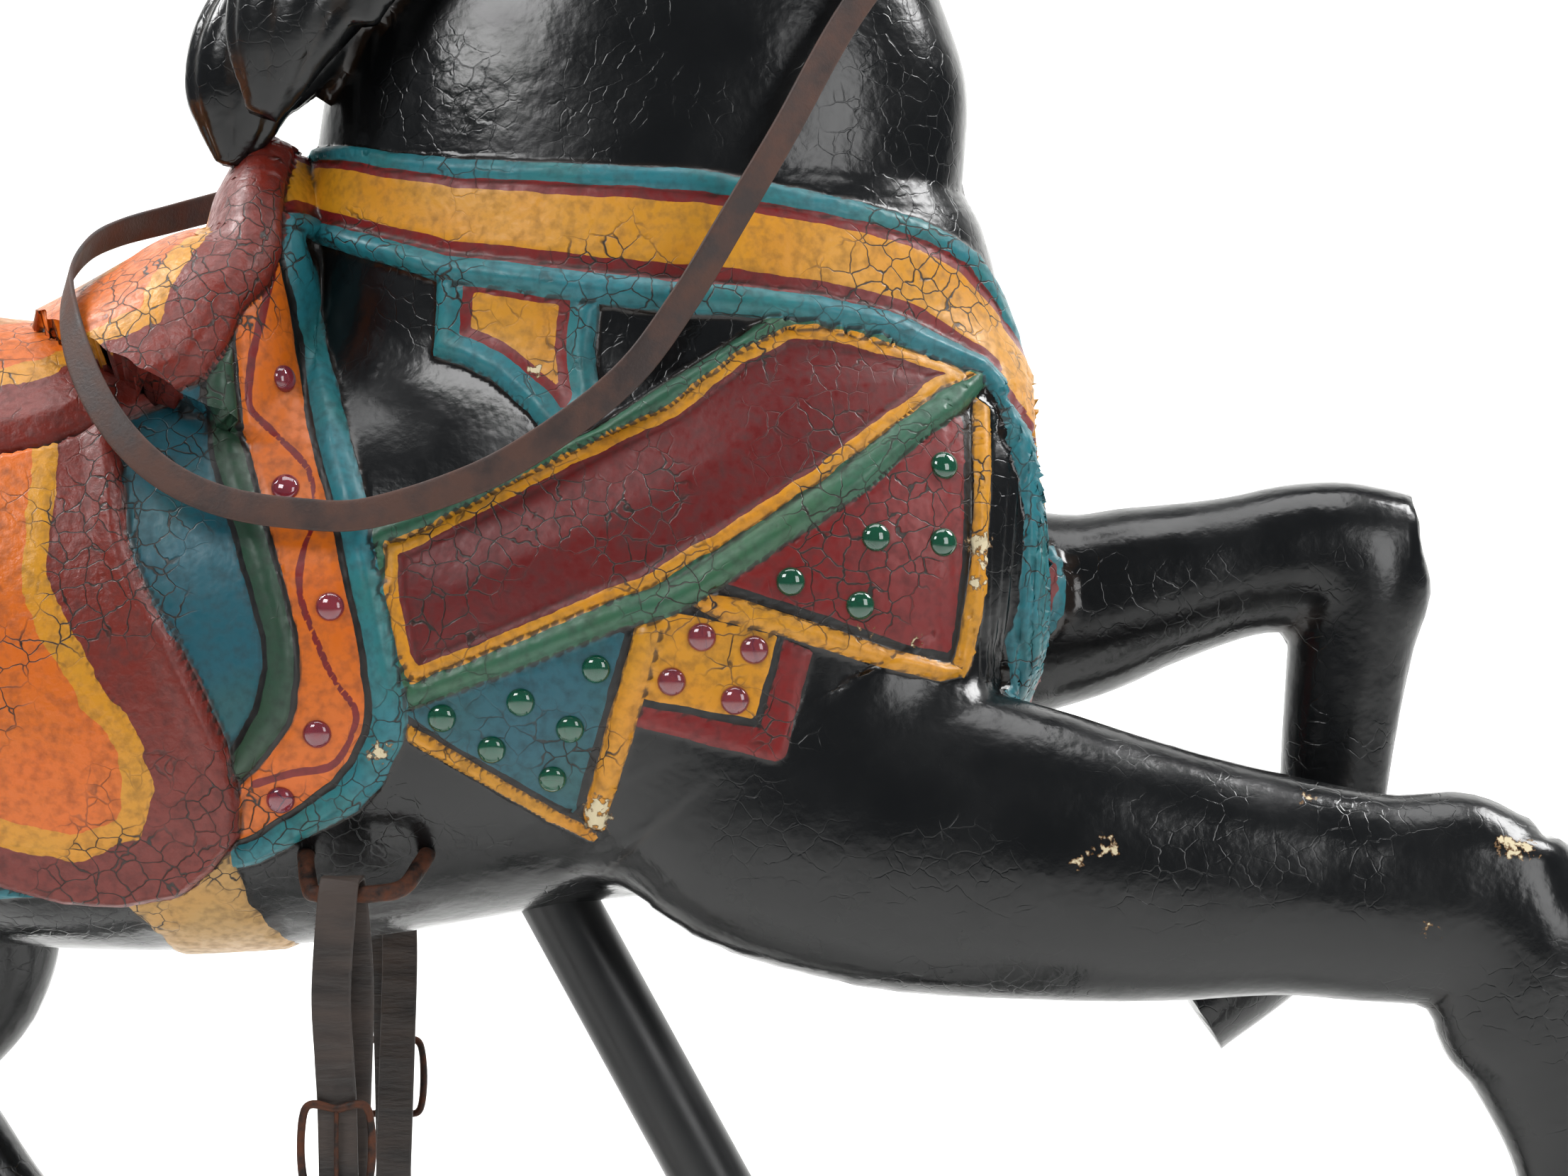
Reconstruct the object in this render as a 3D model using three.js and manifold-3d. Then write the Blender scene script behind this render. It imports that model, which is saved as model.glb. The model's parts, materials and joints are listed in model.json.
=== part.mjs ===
// A carved and painted carousel horse, a jumper, with its glass jewels, leather rein, stirrups and steel stand.
// Millimetres. +X is the way the horse faces, +Z is up, and -Y is its richly dressed side.
// The origin is on the floor, at the middle of the stand's base.
import * as THREE from "three";
import { mergeVertices } from "three/addons/utils/BufferGeometryUtils.js";
import Module from "manifold-3d";

const wasm = await Module();
wasm.setup();

// ---- Driving dimensions ----------------------------------------------------------------------

const GAP = 0.4; // clearance kept between two pieces that touch
const TUBE_R = 25.4; // two-inch steel tube
const TUBE_LEAN = 0.545; // how far a stand tube runs out for each millimetre it drops
const TUBE_TOP = [240, 620]; // where a tube's axis ends inside the belly: distance from the middle, height
const BAR = 40; // base bars are square tube, this wide
const BAR_H = 30;
const FOOT_LENGTH = 620; // each cross foot, end to end
const JEWEL_R = 9.4;
const JEWEL_RISE = 5.4; // how far a glass cabochon's dome stands above its rim
const JEWEL_SEAT = 2.4; // how deep it is let into the wood
const REIN = { width: 20, thick: 3.6 };
const LEATHER = { width: 25, thick: 3.6 };
const LOOSE = 1.4; // how loosely the stirrup leather goes round its bars
const STAPLE_R = 5.6;
const STAPLE = { x: 138, z: 630, span: 72, reach: 34, sag: 18, skin: 118 }; // skin: the wood's y there
const BUCKLE = { z: 468, width: 40, height: 46, wire: 2.6 };
const IRON = { z: 352, width: 112, height: 124, rod: 5, tread: 38 };
const TRAPPING = 5; // height of a raised strap or border
const SADDLE_RISE = 14;
const EYE_RING = { x: 562, z: 1344, out: 66, ring: 15, wire: 2.8 }; // the screw ring that holds a rein end
const HALF = 400; // wider than half the horse, for cuts that go right across it

// Each row is one cross-section of a limb: x, y, z of its middle, half its depth in the horse's
// middle plane, and half its width across.
const TORSO = [
  [-452, 0, 838, 62, 52],
  [-425, 0, 836, 122, 100],
  [-350, 0, 820, 178, 142],
  [-230, 0, 790, 196, 152],
  [-80, 0, 767, 203, 155],
  [80, 0, 768, 201, 157],
  [240, 0, 789, 197, 158],
  [380, 0, 806, 200, 156],
  [470, 0, 818, 190, 146],
  [535, 0, 822, 158, 122],
  [572, 0, 820, 106, 84],
  [586, 0, 820, 50, 40],
];
const NECK = [
  [352, 0, 860, 226, 116],
  [340, 0, 920, 236, 122],
  [322, 0, 1000, 238, 122],
  [312, 0, 1080, 222, 112],
  [316, 0, 1172, 204, 102],
  [330, 0, 1250, 168, 90],
  [346, 0, 1330, 132, 78],
  [364, 0, 1410, 106, 70],
  [388, 0, 1480, 84, 62],
  [404, 0, 1536, 62, 52],
];
const HEAD = [
  [394, 0, 1580, 44, 42],
  [418, 0, 1540, 80, 60],
  [452, 0, 1488, 94, 65],
  [498, 0, 1430, 76, 52],
  [548, 0, 1368, 55, 41],
  [588, 0, 1318, 48, 40],
  [613, 0, 1287, 41, 37],
  [626, 0, 1270, 20, 20],
];
const JAW = [
  [404, 0, 1462, 34, 38],
  [444, 0, 1432, 58, 48],
  [494, 0, 1380, 40, 36],
  [546, 0, 1322, 26, 28],
];
// A leg is two limbs that meet in its knee or hock.
const NEAR_FORELEG = [
  [
    [382, -74, 770, 96, 62],
    [412, -84, 700, 118, 70],
    [470, -98, 654, 108, 68],
    [579, -108, 634, 91, 62],
    [654, -111, 626, 77, 55],
    [728, -112, 617, 67, 48],
    [792, -113, 606, 67, 44],
    [846, -114, 602, 66, 43],
    [884, -114, 600, 36, 28],
  ],
  [
    [868, -114, 626, 40, 36],
    [880, -114, 578, 60, 43],
    [889, -114, 532, 62, 40],
    [895, -113, 496, 55, 36],
    [908, -112, 440, 38, 29],
    [922, -111, 380, 35, 27],
    [938, -110, 326, 40, 33],
    [950, -110, 290, 34, 30],
    [958, -110, 266, 40, 38],
    [972, -110, 222, 54, 48],
  ],
];
const FAR_FORELEG = [
  [
    [410, 74, 800, 96, 60],
    [470, 92, 786, 96, 62],
    [595, 105, 791, 69, 54],
    [659, 106, 806, 58, 48],
    [721, 107, 820, 50, 42],
    [766, 108, 828, 51, 40],
    [806, 109, 834, 47, 38],
    [840, 109, 836, 24, 24],
  ],
  [
    [822, 109, 856, 24, 24],
    [818, 109, 815, 48, 38],
    [812, 109, 765, 46, 36],
    [804, 108, 705, 41, 31],
    [796, 106, 640, 37, 27],
    [788, 106, 604, 40, 31],
    [770, 106, 572, 34, 29],
    [742, 106, 548, 36, 36],
    [699, 106, 519, 43, 44],
  ],
];
const FAR_HIND_LEG = [
  [
    [-330, 70, 850, 130, 76],
    [-280, 84, 760, 148, 80],
    [-226, 96, 668, 122, 70],
    [-200, 102, 590, 92, 58],
    [-198, 104, 524, 72, 46],
    [-212, 104, 466, 46, 36],
  ],
  [
    [-226, 104, 482, 30, 30],
    [-206, 104, 446, 46, 37],
    [-176, 104, 412, 40, 33],
    [-138, 104, 368, 33, 28],
    [-96, 104, 314, 38, 32],
    [-74, 104, 284, 32, 29],
    [-58, 104, 262, 38, 37],
    [-26, 104, 222, 50, 47],
  ],
];
const NEAR_HIND_LEG = [
  [
    [-330, -70, 850, 130, 76],
    [-316, -84, 764, 148, 80],
    [-330, -96, 676, 120, 70],
    [-384, -102, 610, 84, 56],
    [-440, -104, 566, 58, 44],
    [-488, -104, 528, 44, 36],
  ],
  [
    [-492, -104, 548, 30, 30],
    [-502, -104, 508, 46, 37],
    [-520, -104, 454, 38, 31],
    [-544, -104, 396, 33, 27],
    [-566, -104, 346, 39, 32],
    [-582, -104, 318, 32, 29],
    [-596, -104, 296, 38, 37],
    [-626, -104, 252, 50, 46],
  ],
];
const TAIL = [
  [-424, 0, 930, 34, 34],
  [-478, 0, 952, 38, 36],
  [-536, 0, 922, 46, 42],
  [-576, 0, 850, 50, 44],
  [-592, 0, 760, 46, 40],
  [-610, 0, 680, 34, 30],
  [-640, 0, 624, 12, 12],
];
// Locks of hair: start, middle and tip, then the thickest half-depth.
const TAIL_LOCKS = [
  { path: [[-470, -22, 950], [-540, -34, 900], [-584, -34, 800], [-600, -26, 700]], r: 34 },
  { path: [[-470, 22, 950], [-536, 36, 890], [-574, 34, 790], [-584, 26, 690]], r: 32 },
];
const MANE_LOCKS = [
  { path: [[392, -14, 1578], [356, -48, 1540], [318, -70, 1452], [326, -74, 1372]], r: 34 },
  { path: [[350, -12, 1540], [300, -54, 1496], [262, -82, 1400], [262, -88, 1316]], r: 38 },
  { path: [[300, -10, 1490], [240, -58, 1430], [202, -92, 1330], [196, -96, 1246]], r: 42 },
  { path: [[246, -8, 1416], [186, -58, 1352], [146, -98, 1250], [134, -100, 1170]], r: 46 },
  { path: [[204, -6, 1330], [140, -52, 1272], [86, -86, 1184], [66, -84, 1112]], r: 52 },
  { path: [[178, 0, 1262], [112, -22, 1232], [48, -44, 1164], [42, -46, 1094]], r: 54 },
  { path: [[246, 8, 1416], [188, 44, 1360], [146, 74, 1270], [128, 84, 1190]], r: 40 },
  { path: [[330, 12, 1520], [278, 48, 1472], [242, 74, 1372], [236, 82, 1290]], r: 36 },
];
const POMMEL = [
  [40, 0, 930, 92, 140],
  [34, 0, 1000, 68, 112],
  [46, 0, 1040, 46, 84],
  [58, 0, 1074, 31, 58],
  [60, 0, 1094, 16, 34],
];
const CANTLE = [
  [-262, 0, 930, 70, 142],
  [-284, 0, 990, 50, 132],
  [-310, 0, 1034, 30, 112],
  [-322, 0, 1062, 16, 82],
  [-326, 0, 1072, 6, 40],
];

// Outlines in the middle plane, x and z, of what is carved proud of the body.
const SEAT = [
  [99, 1100], [99, 1034], [79, 979], [55, 945], [-5, 905], [-89, 880], [-200, 876], [-300, 900],
  [-350, 960], [-352, 1100],
];
const FLAP = [
  [-20, 930], [-15, 895], [-7, 836], [10, 786], [40, 737], [59, 692], [64, 652], [50, 628], [10, 613],
  [-30, 613], [-89, 628], [-150, 650], [-196, 700], [-206, 780], [-196, 930],
];
const BLANKET = [
  [100, 1100], [104, 1010], [120, 959], [140, 900], [156, 851], [160, 821], [166, 781], [172, 740],
  [164, 700], [134, 664], [90, 642], [50, 622], [-100, 616], [-250, 640], [-330, 720], [-372, 900],
  [-360, 1100],
];
const COLLAR = [
  [92, 1084], [257, 1080], [356, 1070], [455, 1050], [500, 1042], [540, 1010], [575, 960], [640, 930],
  [640, 700], [560, 715], [566, 760], [566, 832], [548, 900], [520, 948], [495, 962], [455, 975],
  [406, 980], [332, 988], [257, 1000], [188, 1015], [92, 1032],
];
const GIRTH = [[-14, 660], [88, 660], [88, 540], [-14, 540]];
const SASH = [[149, 836], [277, 905], [401, 969], [532, 937], [431, 858], [302, 781], [168, 735]];
const LOWER_PANEL = [[166, 714], [181, 740], [302, 778], [330, 783], [304, 656], [292, 646]];
const SQUARE_PANEL = [[318, 776], [425, 766], [404, 697], [316, 716]];
const UPPER_PANEL = [[350, 802], [431, 850], [520, 915], [536, 928], [540, 915], [527, 745], [515, 744]];
const BRACKET = [
  [182, 1012], [288, 996], [288, 950], [276, 908], [256, 908], [232, 944], [184, 960],
];

// Where the jewels sit on the dressed side, x and z.
const GREEN_JEWELS = [
  [189, 724], [239, 734], [287, 755], [270, 717], [220, 704], [258, 685],
  [508, 884], [464, 838], [507, 835], [410, 810], [454, 795],
];
const PINK_JEWELS = [
  [80, 941], [88, 869], [119, 794], [110, 714], [85, 672],
  [354, 775], [387, 767], [335, 747], [375, 735],
];

// The rein's route, from the near side of the mouth, round behind the pommel, to the far side. Each
// row is a point of its middle and the way its outer face looks.
const REIN_ROUTE = [
  [554, -70, 1320, 0.8, -0.4, -0.5],
  [512, -92, 1262, 0.5, -0.8, 0],
  [450, -122, 1177, 0.6, -0.8, 0],
  [406, -144, 1096, 0.6, -0.8, 0],
  [376, -152, 1044, 0.5, -0.85, 0],
  [342, -158, 987, 0.4, -0.9, 0],
  [307, -164, 940, 0.2, -0.95, 0],
  [257, -170, 900, 0, -1, -0.1],
  [208, -172, 873, 0, -1, 0],
  [144, -172, 853, 0, -1, 0.1],
  [99, -172, 853, 0, -1, 0.1],
  [55, -172, 860, 0, -1, 0.2],
  [20, -170, 875, 0, -1, 0.2],
  [-8, -164, 898, -0.1, -1, 0.2],
  [-32, -150, 930, -0.3, -0.9, 0.3],
  [-50, -126, 968, -0.6, -0.7, 0.3],
  [-60, -90, 1004, -0.9, -0.3, 0.2],
  [-56, -44, 1030, -1, 0, 0.3],
  [-42, 0, 1046, -1, 0.2, 0.3],
  [-12, 54, 1062, -0.8, 0.6, 0.2],
  [34, 104, 1082, -0.4, 0.9, 0.1],
  [110, 134, 1112, -0.1, 1, 0],
  [210, 142, 1154, 0.1, 1, 0],
  [330, 128, 1212, 0.2, 1, 0],
  [450, 100, 1272, 0.4, 0.9, 0],
  [554, 70, 1320, 0.8, 0.4, -0.5],
];

// ---- Solids ----------------------------------------------------------------------------------

// Turns a closed three.js geometry into a solid that can be joined and cut.
function solidOf(geometry) {
  const bare = geometry.clone();
  for (const name of Object.keys(bare.attributes)) if (name !== "position") bare.deleteAttribute(name);
  const merged = mergeVertices(bare, 1e-3);
  const made = new wasm.Manifold(
    new wasm.Mesh({
      numProp: 3,
      vertProperties: new Float32Array(merged.attributes.position.array),
      triVerts: new Uint32Array(merged.index.array),
    }),
  );
  if (made.volume() > 0) return made;
  const turned = new Uint32Array(merged.index.array);
  for (let i = 0; i < turned.length; i += 3) [turned[i + 1], turned[i + 2]] = [turned[i + 2], turned[i + 1]];
  return new wasm.Manifold(
    new wasm.Mesh({
      numProp: 3,
      vertProperties: new Float32Array(merged.attributes.position.array),
      triVerts: turned,
    }),
  );
}

function geometryOf(solid) {
  const mesh = solid.getMesh();
  const geometry = new THREE.BufferGeometry();
  const positions = new Float32Array(mesh.numVert * 3);
  for (let i = 0; i < mesh.numVert; i++)
    positions.set(mesh.vertProperties.subarray(i * mesh.numProp, i * mesh.numProp + 3), i * 3);
  geometry.setAttribute("position", new THREE.BufferAttribute(positions, 3));
  geometry.setIndex(new THREE.BufferAttribute(new Uint32Array(mesh.triVerts), 1));
  geometry.computeVertexNormals();
  return geometry;
}

const joinAll = (solids) => solids.reduce((whole, next) => whole.add(next));

// A closed skin over rings of points. Each ring has the same number of points; the ends are fanned.
function skin(rings, closed = false) {
  const sides = rings[0].length;
  const points = rings.flat();
  const faces = [];
  const last = closed ? rings.length : rings.length - 1;
  for (let i = 0; i < last; i++)
    for (let k = 0; k < sides; k++) {
      const next = ((i + 1) % rings.length) * sides;
      const [a, b] = [i * sides + k, i * sides + ((k + 1) % sides)];
      const [c, d] = [next + k, next + ((k + 1) % sides)];
      faces.push(a, b, c, b, d, c);
    }
  if (!closed)
    for (const [ring, flip] of [[0, true], [rings.length - 1, false]]) {
      const middle = rings[ring].reduce((sum, p) => sum.clone().add(p)).divideScalar(sides);
      points.push(middle);
      for (let k = 0; k < sides; k++) {
        const [a, b] = [ring * sides + k, ring * sides + ((k + 1) % sides)];
        faces.push(...(flip ? [b, a, points.length - 1] : [a, b, points.length - 1]));
      }
    }
  const geometry = new THREE.BufferGeometry().setFromPoints(points);
  geometry.setIndex(faces);
  return geometry;
}

// A limb: elliptical sections along a smooth line, each square to it in the middle plane.
function limb(rows, sides, steps, grow = 0) {
  const line = new THREE.CatmullRomCurve3(rows.map(([x, y, z]) => new THREE.Vector3(x, y, z)), false, "catmullrom", 0.5);
  const sizes = new THREE.CatmullRomCurve3(rows.map(([, , , a, b]) => new THREE.Vector3(a, b, 0)), false, "catmullrom", 0.5);
  const across = new THREE.Vector3(0, 1, 0);
  const rings = [];
  for (let i = 0; i <= steps; i++) {
    const t = i / steps;
    const middle = line.getPoint(t);
    const tangent = line.getTangent(t);
    tangent.y = 0;
    tangent.normalize();
    const deep = new THREE.Vector3().crossVectors(across, tangent).normalize();
    const size = sizes.getPoint(t);
    rings.push(
      Array.from({ length: sides }, (_, k) => {
        const angle = (2 * Math.PI * k) / sides;
        return middle
          .clone()
          .addScaledVector(deep, (Math.max(size.x, 4) + grow) * Math.cos(angle))
          .addScaledVector(across, (Math.max(size.y, 4) + grow) * Math.sin(angle));
      }),
    );
  }
  return solidOf(skin(rings));
}

// A prism over an outline in the middle plane, from y = from to y = to.
function prism(outline, from, to, smooth = true) {
  const points = outline.map(([x, z]) => new THREE.Vector2(x, z));
  const shape = smooth
    ? new THREE.Shape(new THREE.SplineCurve([...points, points[0]]).getPoints(Math.round(points.length * 1.3)).slice(0, -1))
    : new THREE.Shape(points);
  const geometry = new THREE.ExtrudeGeometry(shape, { depth: to - from, bevelEnabled: false });
  geometry.rotateX(Math.PI / 2);
  geometry.translate(0, to, 0);
  return solidOf(geometry);
}

// Tapered lock of hair along a few points.
function lock(points, radius, sides = 5, steps = 4) {
  const line = new THREE.CatmullRomCurve3(points.map((p) => new THREE.Vector3(...p)), false, "catmullrom", 0.5);
  const rings = [];
  for (let i = 0; i <= steps; i++) {
    const t = i / steps;
    const fat = Math.max(0.12, Math.sin(Math.PI * (0.16 + 0.8 * t)) ** 0.8);
    const tangent = line.getTangent(t).setY(0).normalize();
    const across = new THREE.Vector3(0, 1, 0);
    const deep = new THREE.Vector3().crossVectors(across, tangent);
    rings.push(
      Array.from({ length: sides }, (_, k) => {
        const angle = (2 * Math.PI * k) / sides;
        return line
          .getPoint(t)
          .addScaledVector(deep, radius * fat * Math.cos(angle))
          .addScaledVector(across, 0.62 * radius * fat * Math.sin(angle));
      }),
    );
  }
  return solidOf(skin(rings));
}

function ball(centre, radii, segments = 14) {
  const geometry = new THREE.SphereGeometry(1, segments, Math.round(segments * 0.6));
  geometry.scale(...radii);
  geometry.translate(...centre);
  return solidOf(geometry);
}

// A round bar from one point to another.
function bar(from, to, radius, sides = 20) {
  const [a, b] = [new THREE.Vector3(...from), new THREE.Vector3(...to)];
  const geometry = new THREE.CylinderGeometry(radius, radius, a.distanceTo(b), sides);
  geometry.applyQuaternion(new THREE.Quaternion().setFromUnitVectors(new THREE.Vector3(0, 1, 0), b.clone().sub(a).normalize()));
  geometry.translate(...a.add(b).multiplyScalar(0.5).toArray());
  return solidOf(geometry);
}

function box(x, y, z, sizes) {
  const geometry = new THREE.BoxGeometry(...sizes);
  geometry.translate(x, y, z);
  return solidOf(geometry);
}

// ---- The stand -------------------------------------------------------------------------------

const tubeFoot = TUBE_TOP[0] + (TUBE_TOP[1] - BAR_H / 2) * TUBE_LEAN;

// One stand tube; way is 1 for the front one and -1 for the rear one.
const tube = (way, grow = 0) => {
  const run = Math.hypot(TUBE_LEAN, 1);
  const top = [way * (TUBE_TOP[0] - (grow * TUBE_LEAN) / run), 0, TUBE_TOP[1] + grow / run];
  return bar([way * tubeFoot, 0, BAR_H / 2], top, TUBE_R + grow);
};

function stand() {
  const parts = [box(0, 0, BAR_H / 2, [2 * tubeFoot, BAR, BAR_H])];
  for (const way of [-1, 1]) {
    parts.push(tube(way).subtract(box(way * tubeFoot, 0, -100, [HALF, HALF, 200])));
    parts.push(box(way * tubeFoot, 0, BAR_H / 2, [BAR, FOOT_LENGTH, BAR_H]));
  }
  return joinAll(parts);
}

// ---- The carved horse ------------------------------------------------------------------------

const trunk = (grow) => joinAll([limb(TORSO, 16, 10, grow), limb(NECK, 14, 7, grow)]);
const shoulder = (grow) => limb(NEAR_FORELEG[0].slice(0, 5), 12, 5, grow);

// A straight strip between two points of the middle plane, right across the horse.
function strip([ax, az], [bx, bz], width) {
  const length = Math.hypot(bx - ax, bz - az);
  const [nx, nz] = [(-(bz - az) / length) * (width / 2), ((bx - ax) / length) * (width / 2)];
  return prism([[ax + nx, az + nz], [bx + nx, bz + nz], [bx - nx, bz - nz], [ax - nx, az - nz]], -HALF, HALF, false);
}

function head() {
  const ears = [-1, 1].map((side) =>
    lock([[390, side * 24, 1574], [392, side * 32, 1616], [408, side * 38, 1660]], 20, 5, 4),
  );
  const eyes = [-1, 1].map((side) => ball([456, side * 57, 1508], [15, 11, 11], 6));
  const skull = (grow) => joinAll([limb(HEAD, 11, 7, grow), limb(JAW, 7, 3, grow)]);
  const straps = [
    strip([384, 1566], [566, 1344], 17),
    strip([500, 1340], [606, 1416], 17),
  ].map((cut) => skull(3).intersect(cut));
  return joinAll([skull(0), ...straps, ...ears, ...eyes]);
}

function legs() {
  return [
    [NEAR_FORELEG, 10],
    [FAR_FORELEG, 9],
    [NEAR_HIND_LEG, 9],
    [FAR_HIND_LEG, 9],
  ].flatMap(([[upper, lower], sides]) => [limb(upper, sides, 6), limb(lower, sides, 8)]);
}

function hair() {
  return [limb(TAIL, 8, 7), ...[...TAIL_LOCKS, ...MANE_LOCKS].map(({ path, r }) => lock(path, r))];
}

function trappings() {
  const shell = trunk(TRAPPING).add(shoulder(TRAPPING));
  const saddle = [
    limb(TORSO, 16, 10, SADDLE_RISE).intersect(prism(SEAT, -HALF, HALF)),
    limb(TORSO, 16, 10, SADDLE_RISE - 3).intersect(prism(FLAP, -HALF, HALF)),
    limb(POMMEL, 12, 5),
    limb(CANTLE, 12, 5),
  ];
  const both = [BLANKET, COLLAR].map((outline) => shell.intersect(prism(outline, -HALF, HALF, false)));
  const girth = limb(TORSO, 16, 10, TRAPPING).intersect(prism(GIRTH, -HALF, HALF, false));
  const near = [SASH, LOWER_PANEL, SQUARE_PANEL, UPPER_PANEL, BRACKET].map((outline) =>
    shell.intersect(prism(outline, -HALF, 0, false)),
  );
  return [...saddle, ...both, girth, ...near];
}

const carving = joinAll([trunk(0), head(), ...legs(), ...hair(), ...trappings()]);

// ---- Glass jewels ----------------------------------------------------------------------------

const caster = new THREE.Raycaster();
const carved = new THREE.Mesh(geometryOf(carving), new THREE.MeshBasicMaterial({ side: THREE.DoubleSide }));

// The point and the outward direction of the carved surface at (x, z) on the dressed side.
function surfaceAt([x, z]) {
  caster.set(new THREE.Vector3(x, -HALF, z), new THREE.Vector3(0, 1, 0));
  const hit = caster.intersectObject(carved)[0];
  return { point: hit.point, out: hit.face.normal.clone() };
}

// Turns a profile of radii and heights about the outward direction of the surface.
function turned(profile, { point, out }) {
  const geometry = new THREE.LatheGeometry(profile.map(([r, h]) => new THREE.Vector2(r, h)), 7);
  geometry.applyQuaternion(new THREE.Quaternion().setFromUnitVectors(new THREE.Vector3(0, 1, 0), out));
  geometry.translate(...point.toArray());
  return solidOf(geometry);
}

// A cabochon: a flat back, a straight rim and a dome.
const jewel = (at) =>
  turned(
    [[0, -JEWEL_SEAT], [JEWEL_R, -JEWEL_SEAT], [JEWEL_R, 0], [JEWEL_R * 0.72, JEWEL_RISE * 0.7], [0, JEWEL_RISE]],
    at,
  );

// The flat-bottomed seat cut in the wood for a cabochon.
const jewelSeat = (at) =>
  turned(
    [[0, -JEWEL_SEAT - GAP], [JEWEL_R + GAP, -JEWEL_SEAT - GAP], [JEWEL_R + GAP, 12], [0, 12]],
    at,
  );

const jewelSets = [
  ["green_jewel", 0x0f8f66, GREEN_JEWELS],
  ["pink_jewel", 0x9a4a66, PINK_JEWELS],
].flatMap(([name, colour, places]) =>
  places.map((place, i) => ({ name: `${name}_${i + 1}`, colour, at: surfaceAt(place) })),
);

// ---- Iron and leather ------------------------------------------------------------------------

// A bent round bar through a few points.
function wire(points, radius, sides = 5, steps = 13, closed = false) {
  const curve = new THREE.CatmullRomCurve3(points.map((p) => new THREE.Vector3(...p)), closed, "catmullrom", 0.5);
  const frames = curve.computeFrenetFrames(steps, closed);
  const rings = Array.from({ length: closed ? steps : steps + 1 }, (_, i) =>
    Array.from({ length: sides }, (_, k) => {
      const angle = (2 * Math.PI * k) / sides;
      return curve
        .getPointAt(i / steps)
        .addScaledVector(frames.normals[i], radius * Math.cos(angle))
        .addScaledVector(frames.binormals[i], radius * Math.sin(angle));
    }),
  );
  return solidOf(skin(rings, closed));
}

// A flat strap through points, each with the way its outer face looks.
function strap(rows, width, thick, steps, closed = false) {
  const curve = (cells) =>
    new THREE.CatmullRomCurve3(cells.map((p) => new THREE.Vector3(...p)), closed, "catmullrom", 0.5);
  const line = curve(rows.map((row) => row.slice(0, 3)));
  const facing = curve(rows.map((row) => row.slice(3)));
  const rings = Array.from({ length: closed ? steps : steps + 1 }, (_, i) => {
    const t = i / steps;
    const along = line.getTangent(t);
    const out = facing.getPoint(t);
    out.addScaledVector(along, -out.dot(along)).normalize();
    const across = new THREE.Vector3().crossVectors(along, out);
    return [[1, 1], [1, -1], [-1, -1], [-1, 1]].map(([a, b]) =>
      line
        .getPoint(t)
        .addScaledVector(across, (a * width) / 2)
        .addScaledVector(out, (b * thick) / 2),
    );
  });
  return solidOf(skin(rings, closed));
}

// The iron staple that a stirrup leather hangs on, with both ends in the wood. side is -1 for near.
function staple(side, grow = 0) {
  const { x, z, span, reach, sag, skin: wood } = STAPLE;
  const rows = [
    [-0.56, -18, 0.3],
    [-0.54, 6, 0.1],
    [-0.46, reach * 0.86, -0.85],
    [-0.38, reach, -1],
    [-0.16, reach, -1],
    [0.1, reach, -1],
    [0.36, reach * 0.86, -0.8],
    [0.5, 8, 0],
    [0.52, -18, 0.3],
  ];
  return wire(rows.map(([a, out, low]) => [x + a * span, side * (wood + out), z + low * sag]), STAPLE_R + grow);
}

// The hollow carved in the wood above a staple, so that the strap can pass behind it.
const stapleHollow = (side) => ball([STAPLE.x, side * (STAPLE.skin + 4), STAPLE.z + 8], [36, 24, 22], 7);

// How far out from the middle plane the leather hangs, and the height of the staple's bar.
const hang = STAPLE.skin + STAPLE.reach;
const barZ = STAPLE.z - STAPLE.sag;
const ironTop = IRON.z;

// The stirrup leather: one closed loop, over the staple's bar and under the top bar of the iron.
function leather(side) {
  const rise = STAPLE_R + LOOSE + LEATHER.thick / 2;
  const drop = IRON.rod + LOOSE + LEATHER.thick / 2;
  const rows = [
    [0, 0, barZ + rise, 0, 0, 1],
    [-2, rise, barZ, 0, 1, 0],
    [-6, rise + 1, barZ - 60, 0, 1, 0],
    [-4, rise + 1, BUCKLE.z + 40, 0, 1, 0],
    [-2, rise + 1, BUCKLE.z, 0, 1, 0],
    [0, drop, ironTop, 0, 1, 0],
    [0, 0, ironTop - drop, 0, 0, -1],
    [0, -drop, ironTop, 0, -1, 0],
    [4, -rise - 3, BUCKLE.z, 0, -1, 0],
    [6, -rise - 3, barZ - 60, 0, -1, 0],
    [2, -rise, barZ, 0, -1, 0],
  ].map(([x, y, z, a, b, c]) => [STAPLE.x - 12 + x, side * (hang + y), z, a, side * b, c]);
  return strap(side < 0 ? rows : rows.reverse(), LEATHER.width, LEATHER.thick, 22, true);
}

// A wire buckle round the front run of the leather.
function buckle(side) {
  const { z, width, height, wire: thick } = BUCKLE;
  const y = hang + STAPLE_R + LOOSE + LEATHER.thick + thick + 2;
  const frame = [
    [-0.5, 0.5],
    [0, 0.52],
    [0.5, 0.5],
    [0.5, -0.5],
    [0, -0.52],
    [-0.5, -0.5],
  ].map(([a, b]) => [STAPLE.x - 14 + a * width, side * y, z - 14 + b * height]);
  return wire(frame, thick, 5, 12, true);
}

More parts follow.
